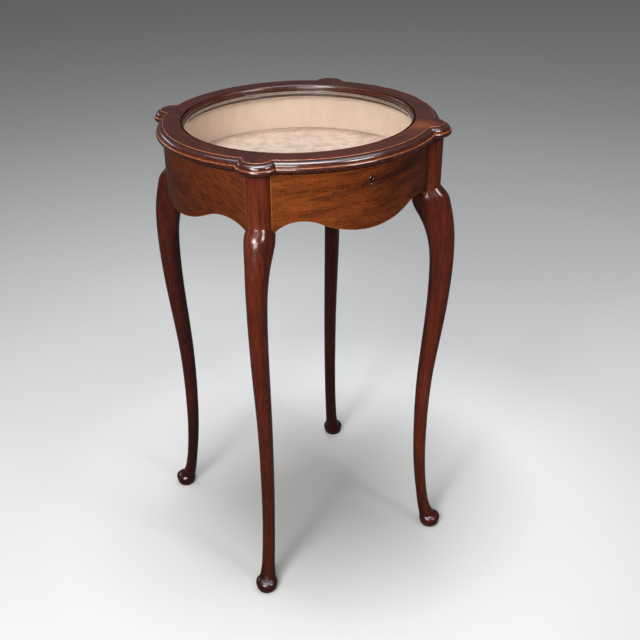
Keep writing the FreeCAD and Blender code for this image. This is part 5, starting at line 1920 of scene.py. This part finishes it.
@dataclass(frozen=True)
class Well(SubAssembly):
    """The lined well: a padded card wall and floor, both covered with woven cloth."""

    wall_outer: float = 0.1873
    wall_thickness: float = 0.0019
    wall_drop: float = 0.0010
    wall_roll: float = 0.0009
    overlap: float = 0.0001
    puff: float = 0.0005
    puff_base: float = 0.55
    # Ripples round the wall: how many, phase, lean with height and share.
    ripples: tuple = ((5.0, 0.7, 0.0, 0.5), (11.0, 2.0, 2.0, 0.3), (23.0, 0.0, 5.0, 0.2))
    face_depth: float = 0.0002
    # Painted shade along the crease at the wall's foot, and its height.
    wall_foot_shade: float = 0.30
    wall_foot_shade_height: float = 0.0016
    seam: float = -1.05
    seam_width: float = 0.0016
    seam_depth: float = 0.0007
    seam_line: float = 0.0006
    seam_soil: float = 0.6
    floor_radius: float = 0.1872
    floor_thickness: float = 0.0028
    floor_roll: float = 0.0016
    floor_rows: int = 60
    roll_rows: int = 6
    first_ring: float = 0.004
    last_ring_gap: float = 0.0004
    rise_start: float = 0.176
    rise_width: float = 0.009
    rise_height: float = 0.0005
    frill_height: float = 0.0006
    # Frills round the floor's edge: how many, phase and share.
    frills: tuple = ((7.0, 1.0, 0.5), (19.0, 0.0, 0.3), (43.0, 2.0, 0.2))
    quilting: float = 0.00018
    calm_edge: float = 0.004
    calm_width: float = 0.02
    # Painted shade on the floor's edge where it meets the wall.
    rim_shade: float = 0.5
    give: float = 0.00035
    sharp: float = 50.0
    steps: int = 220

    def wall(self) -> Draft:
        """Shapes the wall: soft, rolled over at the top, with one butted seam.

        Returns:
            The wall.
        """
        roll, half = self.wall_roll, self.wall_thickness / 2.0
        inner, outer = self.wall_outer - self.wall_thickness, self.wall_outer
        low, high = SHARED.well_floor - self.overlap, SHARED.case_top - self.wall_drop
        section = [(inner, height) for height in np.linspace(low, high - roll, 22)]
        section += [((inner + outer) / 2.0 - half * math.cos(turn), high - roll + roll * math.sin(turn))
                    for turn in np.linspace(0.0, math.pi, 9)[1:]]
        section += [(outer, (low + high) / 2.0), (outer, low)]
        radius, height = np.array(section).T
        a = np.linspace(self.seam, self.seam + FULL_TURN, self.steps)[:, None]
        share = np.clip((height - low) / (high - low), 0.0, 1.0)
        wave = sum(np.sin(a * count + phase + share * lean) * part
                   for count, phase, lean, part in self.ripples)
        edge = np.minimum(a - self.seam, self.seam + FULL_TURN - a) * inner
        tuck = np.exp(-(edge / self.seam_width) ** 2) * self.seam_depth
        front = radius < inner + self.face_depth
        base = self.puff_base
        swell = self.puff * np.sin(math.pi * share) ** 0.5 * (base + (1.0 - base) * wave) - tuck
        # Painted shade along the crease at the wall's foot, and a dark line along the seam.
        foot = np.exp(-((height - low) / self.wall_foot_shade_height) ** 2)
        grime_and_shade_share = np.where(front, foot * self.wall_foot_shade, 0.0)
        grime_and_shade_share = grime_and_shade_share + np.exp(-(edge / self.seam_line) ** 2) * self.seam_soil
        draft = Draft()
        draft.loft(ring_points(radius - np.where(front, swell, 0.0), a, height),
                   together(a * inner, height, 0.0), grime=grime_and_shade_share)
        return draft

    def floor(self) -> Draft:
        """Shapes the floor: a thin pad that rolls down at its edge.

        Returns:
            The floor.
        """
        roll, rim = self.floor_roll, self.floor_radius - self.floor_roll
        turn = np.linspace(0.0, QUARTER, self.roll_rows)
        flat = np.linspace(self.first_ring, rim - self.last_ring_gap, self.floor_rows)
        r = np.append(flat, rim + roll * np.sin(turn))[:, None]
        drop = np.append(np.zeros(self.floor_rows), roll * (1.0 - np.cos(turn)))[:, None]
        a = full_turn(self.steps)
        x, y = r * np.cos(a), r * np.sin(a)
        quilt = (np.sin(x * 41.0 + 1.3) * np.sin(y * 37.0 + 0.4) + np.sin(x * 19.0 - y * 27.0) * 0.6
                 + np.sin((x + y) * 73.0) * 0.25)
        fade = np.clip((self.floor_radius - self.calm_edge - r) / self.calm_width, 0.0, 1.0)
        frill = sum(np.sin(a * count + phase) * part for count, phase, part in self.frills)
        rise = np.clip((r - self.rise_start) / self.rise_width, 0.0, 1.0) ** 2 * (r < rim)
        height = (SHARED.well_floor - drop - self.give + quilt * self.quilting * fade
                  + rise * (self.rise_height + self.frill_height * frill))
        upper = together(x, y, height)
        lowest = together(x[-1:], y[-1:], SHARED.well_floor - self.floor_thickness)
        grid = np.concatenate((upper, lowest))
        grime_and_shade_share = np.zeros(grid.shape[:-1])
        # Painted shade on the floor's edge, where it meets and runs under the wall.
        grime_and_shade_share[-self.roll_rows - 2:] = self.rim_shade
        draft = Draft()
        draft.loft(grid, grid * (1.0, 1.0, 0.0), grime=grime_and_shade_share)
        return draft

    def build(self) -> None:
        """Builds and dresses the linings, and dresses the board and blocks below them."""
        wall_mesh = self.wall().mesh("cloth_wall", self.sharp)
        floor_mesh = self.floor().mesh("cloth_floor", self.sharp)
        wall = fit(wall_mesh, self.finishes.lit_wall_cloth, "case", "lining_fabric", "wall_lining")
        floor = fit(floor_mesh, self.finishes.shaded_floor_cloth, "case", "lining_fabric", "floor_lining")
        dress(self.finishes.bare, "case_bottom", "bottom_glue_blocks")


# ---------------------------------------- metalwork


@dataclass(frozen=True)
class Metalwork(SubAssembly):
    """The lock, its brass thread in the keyhole, the hinges and every screw."""

    thread_front: float = 0.20015
    # Share of the thread's width, and the distance behind its front, round its section.
    thread_section: tuple = (
        (1.0, 0.0034), (1.0, 0.0002), (0.72, 0.0), (0.30, 0.0), (0.0, 0.00025), (0.0, 0.0034))
    screw_head: float = 0.0021
    screw_sink: float = 0.0011
    screw_shank: float = 0.00105
    screw_tip: float = 0.0003
    screw_length: float = 0.0095
    screw_proud: float = 0.00003
    slot_cut: float = 0.00055
    slot_turns: tuple[float, float] = (0.4, 1.9)
    hinge_offset: float = 0.0300
    hinge_pitch: float = 0.0100
    hinge_line: float = 0.1918
    lock_line: float = -0.1916
    selvedge_offset: float = 0.0250
    link_offset: float = 0.0175
    link_line: float = -0.19145
    sharp: float = 30.0

    def keyhole_thread(self) -> None:
        """Bends the thin brass thread round the keyhole."""
        keyhole = Keyhole()
        rings = []
        for share, behind in self.thread_section:
            path = keyhole.outline(keyhole.thread * share)
            rings.append(together(path[:, 0], behind - self.thread_front, path[:, 1]))
        grid = np.array(rings)
        draft = Draft()
        draft.skin(draft.add(grid, grid), around=True, along=True)
        mesh = draft.mesh("keyhole_thread")
        fit(mesh, self.finishes.thread, "case", "brass", "keyhole_escutcheon")

    def screw_tree(self) -> Recipe:
        """Makes the tree that puts one slotted screw on each seat, head up or head down.

        Returns:
            The tree, whose seats carry the marks flip and turn.
        """
        r = Recipe("seat_slotted_screws")
        seats = r.start()
        head, sink, shank, tip, length, slot = (r.ask(name) for name in (
            "Head radius", "Head depth", "Shank radius", "Tip radius", "Length", "Slot width"))
        finish = r.ask("Finish", "NodeSocketMaterial")
        cone, stem = (r.out("GeometryNodeMeshCone", {}, {
            "Vertices": sides, "Radius Top": upper, "Radius Bottom": lower, "Depth": depth})
            for sides, upper, lower, depth in ((24, shank, head, sink), (12, tip, shank, length - sink)))
        stem = r.out("GeometryNodeTransform", {}, {"Geometry": stem, "Translation": r.join(0.0, 0.0, sink)})
        cutter = r.out("GeometryNodeMeshCube", {}, {"Size": r.join(head * 3.0, slot, sink)})
        slotted = r.out("GeometryNodeMeshBoolean", {"operation": "DIFFERENCE"}, {0: cone, 1: cutter})
        joined = r.out("GeometryNodeJoinGeometry", {}, {0: slotted})
        r.tree.links.new(stem.socket, joined.socket.node.inputs[0])
        rotation = r.join(r.read("flip") * math.pi, 0.0, r.read("turn"))
        r.close(r.copies(seats, joined, rotation), finish)
        return r

    def screws(self) -> None:
        """Drives the screws: heads up in the case, heads down in the lid."""
        tree = self.screw_tree()
        hinge = [(side * self.hinge_offset + step * self.hinge_pitch, self.hinge_line)
                 for side in (-1, 1) for step in (-1, 0, 1)]
        plate = [(side * self.selvedge_offset, self.lock_line) for side in (-1, 1)]
        link = [(side * self.link_offset, self.link_line) for side in (-1, 1)]
        face, roof = SHARED.case_top - self.screw_proud, SHARED.lid_bottom + self.screw_proud
        brass, steel = ("brass", self.finishes.brass), ("steel", self.finishes.steel)
        first, step = self.slot_turns
        for name, seats, height, flip, body, (slot, metal), node in (
                ("screws_in_case_leaves", hinge, face, 1.0, "case", brass, "hinge_case_screws"),
                ("screws_in_lid_leaves", hinge, roof, 0.0, "lid", brass, "hinge_lid_screws"),
                ("screws_in_selvedge", plate, face, 1.0, "case", steel, "lock_screws"),
                ("screws_in_link_plate", link, roof, 0.0, "lid", brass, "link_plate_screws")):
            blank = bpy.data.meshes.new(f"{name}_seats")
            blank.from_pydata([(x, y, height) for x, y in seats], [], [])
            turns = [first + step * number for number in range(len(seats))]
            for mark, values in (("flip", [flip] * len(seats)), ("turn", turns)):
                blank.attributes.new(mark, "FLOAT", "POINT").data.foreach_set("value", values)
            mesh = tree.run(name, blank, {
                "Head radius": self.screw_head, "Head depth": self.screw_sink,
                "Shank radius": self.screw_shank, "Tip radius": self.screw_tip,
                "Length": self.screw_length, "Slot width": self.slot_cut, "Finish": metal})
            fit(settle(mesh, self.sharp), metal, body, slot, node)

    def build(self) -> None:
        """Builds the thread and the screws, and dresses the lock and the hinges."""
        self.keyhole_thread()
        self.screws()
        dress(self.finishes.steel, "lock_case", "lock_cap", "lock_drill_pin", "lock_spring", "lock_bolt")
        parts = ("case_leaf", "lid_leaf", "pin")
        hinges = [f"hinge_{hand}_{part}" for hand in HANDS for part in parts]
        dress(self.finishes.brass, "lock_selvedge", "lock_link_plate", *hinges)


# ---------------------------------------- studio


@dataclass(frozen=True)
class SoftBox:
    """One soft light: where it hangs, where it points, its size and its strength."""

    name: str
    place: Triple
    aim: Triple
    size: tuple[float, float]
    watts: float
    tint: Colour = (1.0, 1.0, 1.0)
    gloss_only: bool = False

    def hang(self) -> None:
        """Hangs the light."""
        light = bpy.data.lights.new(self.name, "AREA")
        light.shape = "RECTANGLE"
        light.size, light.size_y = self.size
        light.energy = self.watts
        light.color = self.tint
        lamp = stand(self.name, light)
        lamp.location = self.place
        lamp.visible_camera = False
        lamp.visible_diffuse = not self.gloss_only
        way = Vector(self.aim) - Vector(self.place)
        lamp.rotation_euler = way.to_track_quat("-Z", "Y").to_euler()


@dataclass(frozen=True)
class Studio(SubAssembly):
    """The paper floor, the soft lights and the camera."""

    floor_rings: tuple = (0.4, 0.8, 1.6, 3.2, 6.0, 9.0)
    floor_steps: int = 96
    eye: Triple = (-0.6722, -1.1947, 1.1284)
    look: Triple = (0.3772, 0.7607, -0.5282)
    roll: float = -2.51
    # Focal length and middle of the picture, in pixels, and the sensor's width in millimetres.
    focal: float = 930.33
    centre: tuple[float, float] = (260.21, 377.93)
    sensor: float = 36.0
    sky: float = 0.09
    boxes: tuple[SoftBox, ...] = (
        SoftBox("overhead", (0.0, 0.05, 2.70), (0.0, 0.0, 0.0), (1.1, 1.1), 55.0, (0.92, 0.96, 1.0)),
        SoftBox("key", (-1.73, -1.00, 2.23), (0.0, 0.0, 0.55), (0.55, 0.55), 18.0),
        SoftBox("right_spot", (0.47, -1.51, 2.10), (0.0, 0.0, 0.55), (0.32, 0.32), 6.0),
        SoftBox("left_panel", (-1.58, -0.80, 2.24), (-0.15, -0.15, 0.5), (0.75, 0.75), 34.0,
                gloss_only=True),
        SoftBox("right_panel", (0.80, -1.72, 2.03), (0.15, -0.15, 0.5), (0.75, 0.75), 30.0,
                gloss_only=True),
        SoftBox("front_fill", (-1.65, -1.65, 1.62), (0.0, 0.0, 0.66), (1.2, 1.2), 56.0),
        SoftBox("ceiling", (0.15, 0.15, 2.35), (0.15, 0.15, 0.0), (2.1, 2.1), 44.0,
                (0.92, 0.90, 1.0), gloss_only=True),
        SoftBox("back_strip", (-0.784, 2.18, 1.54), (-0.1, 0.0, 0.72), (1.2, 0.5), 5.0,
                (0.90, 0.92, 1.0), gloss_only=True))

    def floor(self) -> None:
        """Rolls out the paper."""
        rings = np.array(self.floor_rings)[:, None]
        grid = ring_points(rings, full_turn(self.floor_steps), 0.0)
        draft = Draft()
        numbers = draft.add(grid, grid)
        draft.skin(numbers[::-1], around=True)
        draft.cap(numbers[0])
        paper = set_up(draft.mesh("paper_floor"), self.finishes.paper)
        paper.visible_glossy = False

    def lights(self) -> None:
        """Hangs the soft boxes and sets the room's own light."""
        for box in self.boxes:
            box.hang()
        world = bpy.data.worlds.new("room")
        world.use_nodes = True
        background = world.node_tree.nodes["Background"]
        background.inputs["Color"].default_value = (1.0, 1.0, 1.0, 1.0)
        background.inputs["Strength"].default_value = self.sky
        bpy.context.scene.world = world

    def camera(self) -> None:
        """Sets the camera up."""
        lens = bpy.data.cameras.new("camera")
        lens.sensor_width = self.sensor
        lens.lens = self.focal / IMAGE_WIDTH * self.sensor
        lens.shift_x = (IMAGE_WIDTH / 2.0 - self.centre[0]) / IMAGE_WIDTH
        lens.shift_y = (self.centre[1] - IMAGE_WIDTH / 2.0) / IMAGE_WIDTH
        camera = stand("camera", lens)
        ahead = Vector(self.look).normalized()
        right = ahead.cross(Vector((0.0, 0.0, 1.0))).normalized()
        up = right.cross(ahead)
        c, s = math.cos(math.radians(self.roll)), math.sin(math.radians(self.roll))
        turned_axes = Matrix((right * c + up * s, up * c - right * s, -ahead)).transposed()
        camera.matrix_world = Matrix.Translation(self.eye) @ turned_axes.to_4x4()
        bpy.context.scene.camera = camera
        bpy.context.scene.view_settings.view_transform = "Standard"

    def build(self) -> None:
        """Sets the studio up."""
        self.floor()
        self.lights()
        self.camera()


def main() -> None:
    """Builds the table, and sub-assembly by sub-assembly."""
    logging.basicConfig(level=logging.INFO, format="%(message)s")
    finishes = Finishes()
    for kind in (Studio, CabrioleLegs, Aprons, MouldedEdge, LidFrame, Glazing, Well, Metalwork):
        LOG.info("building %s", kind.__name__)
        kind(finishes).build()


if __name__ == "__main__":
    main()
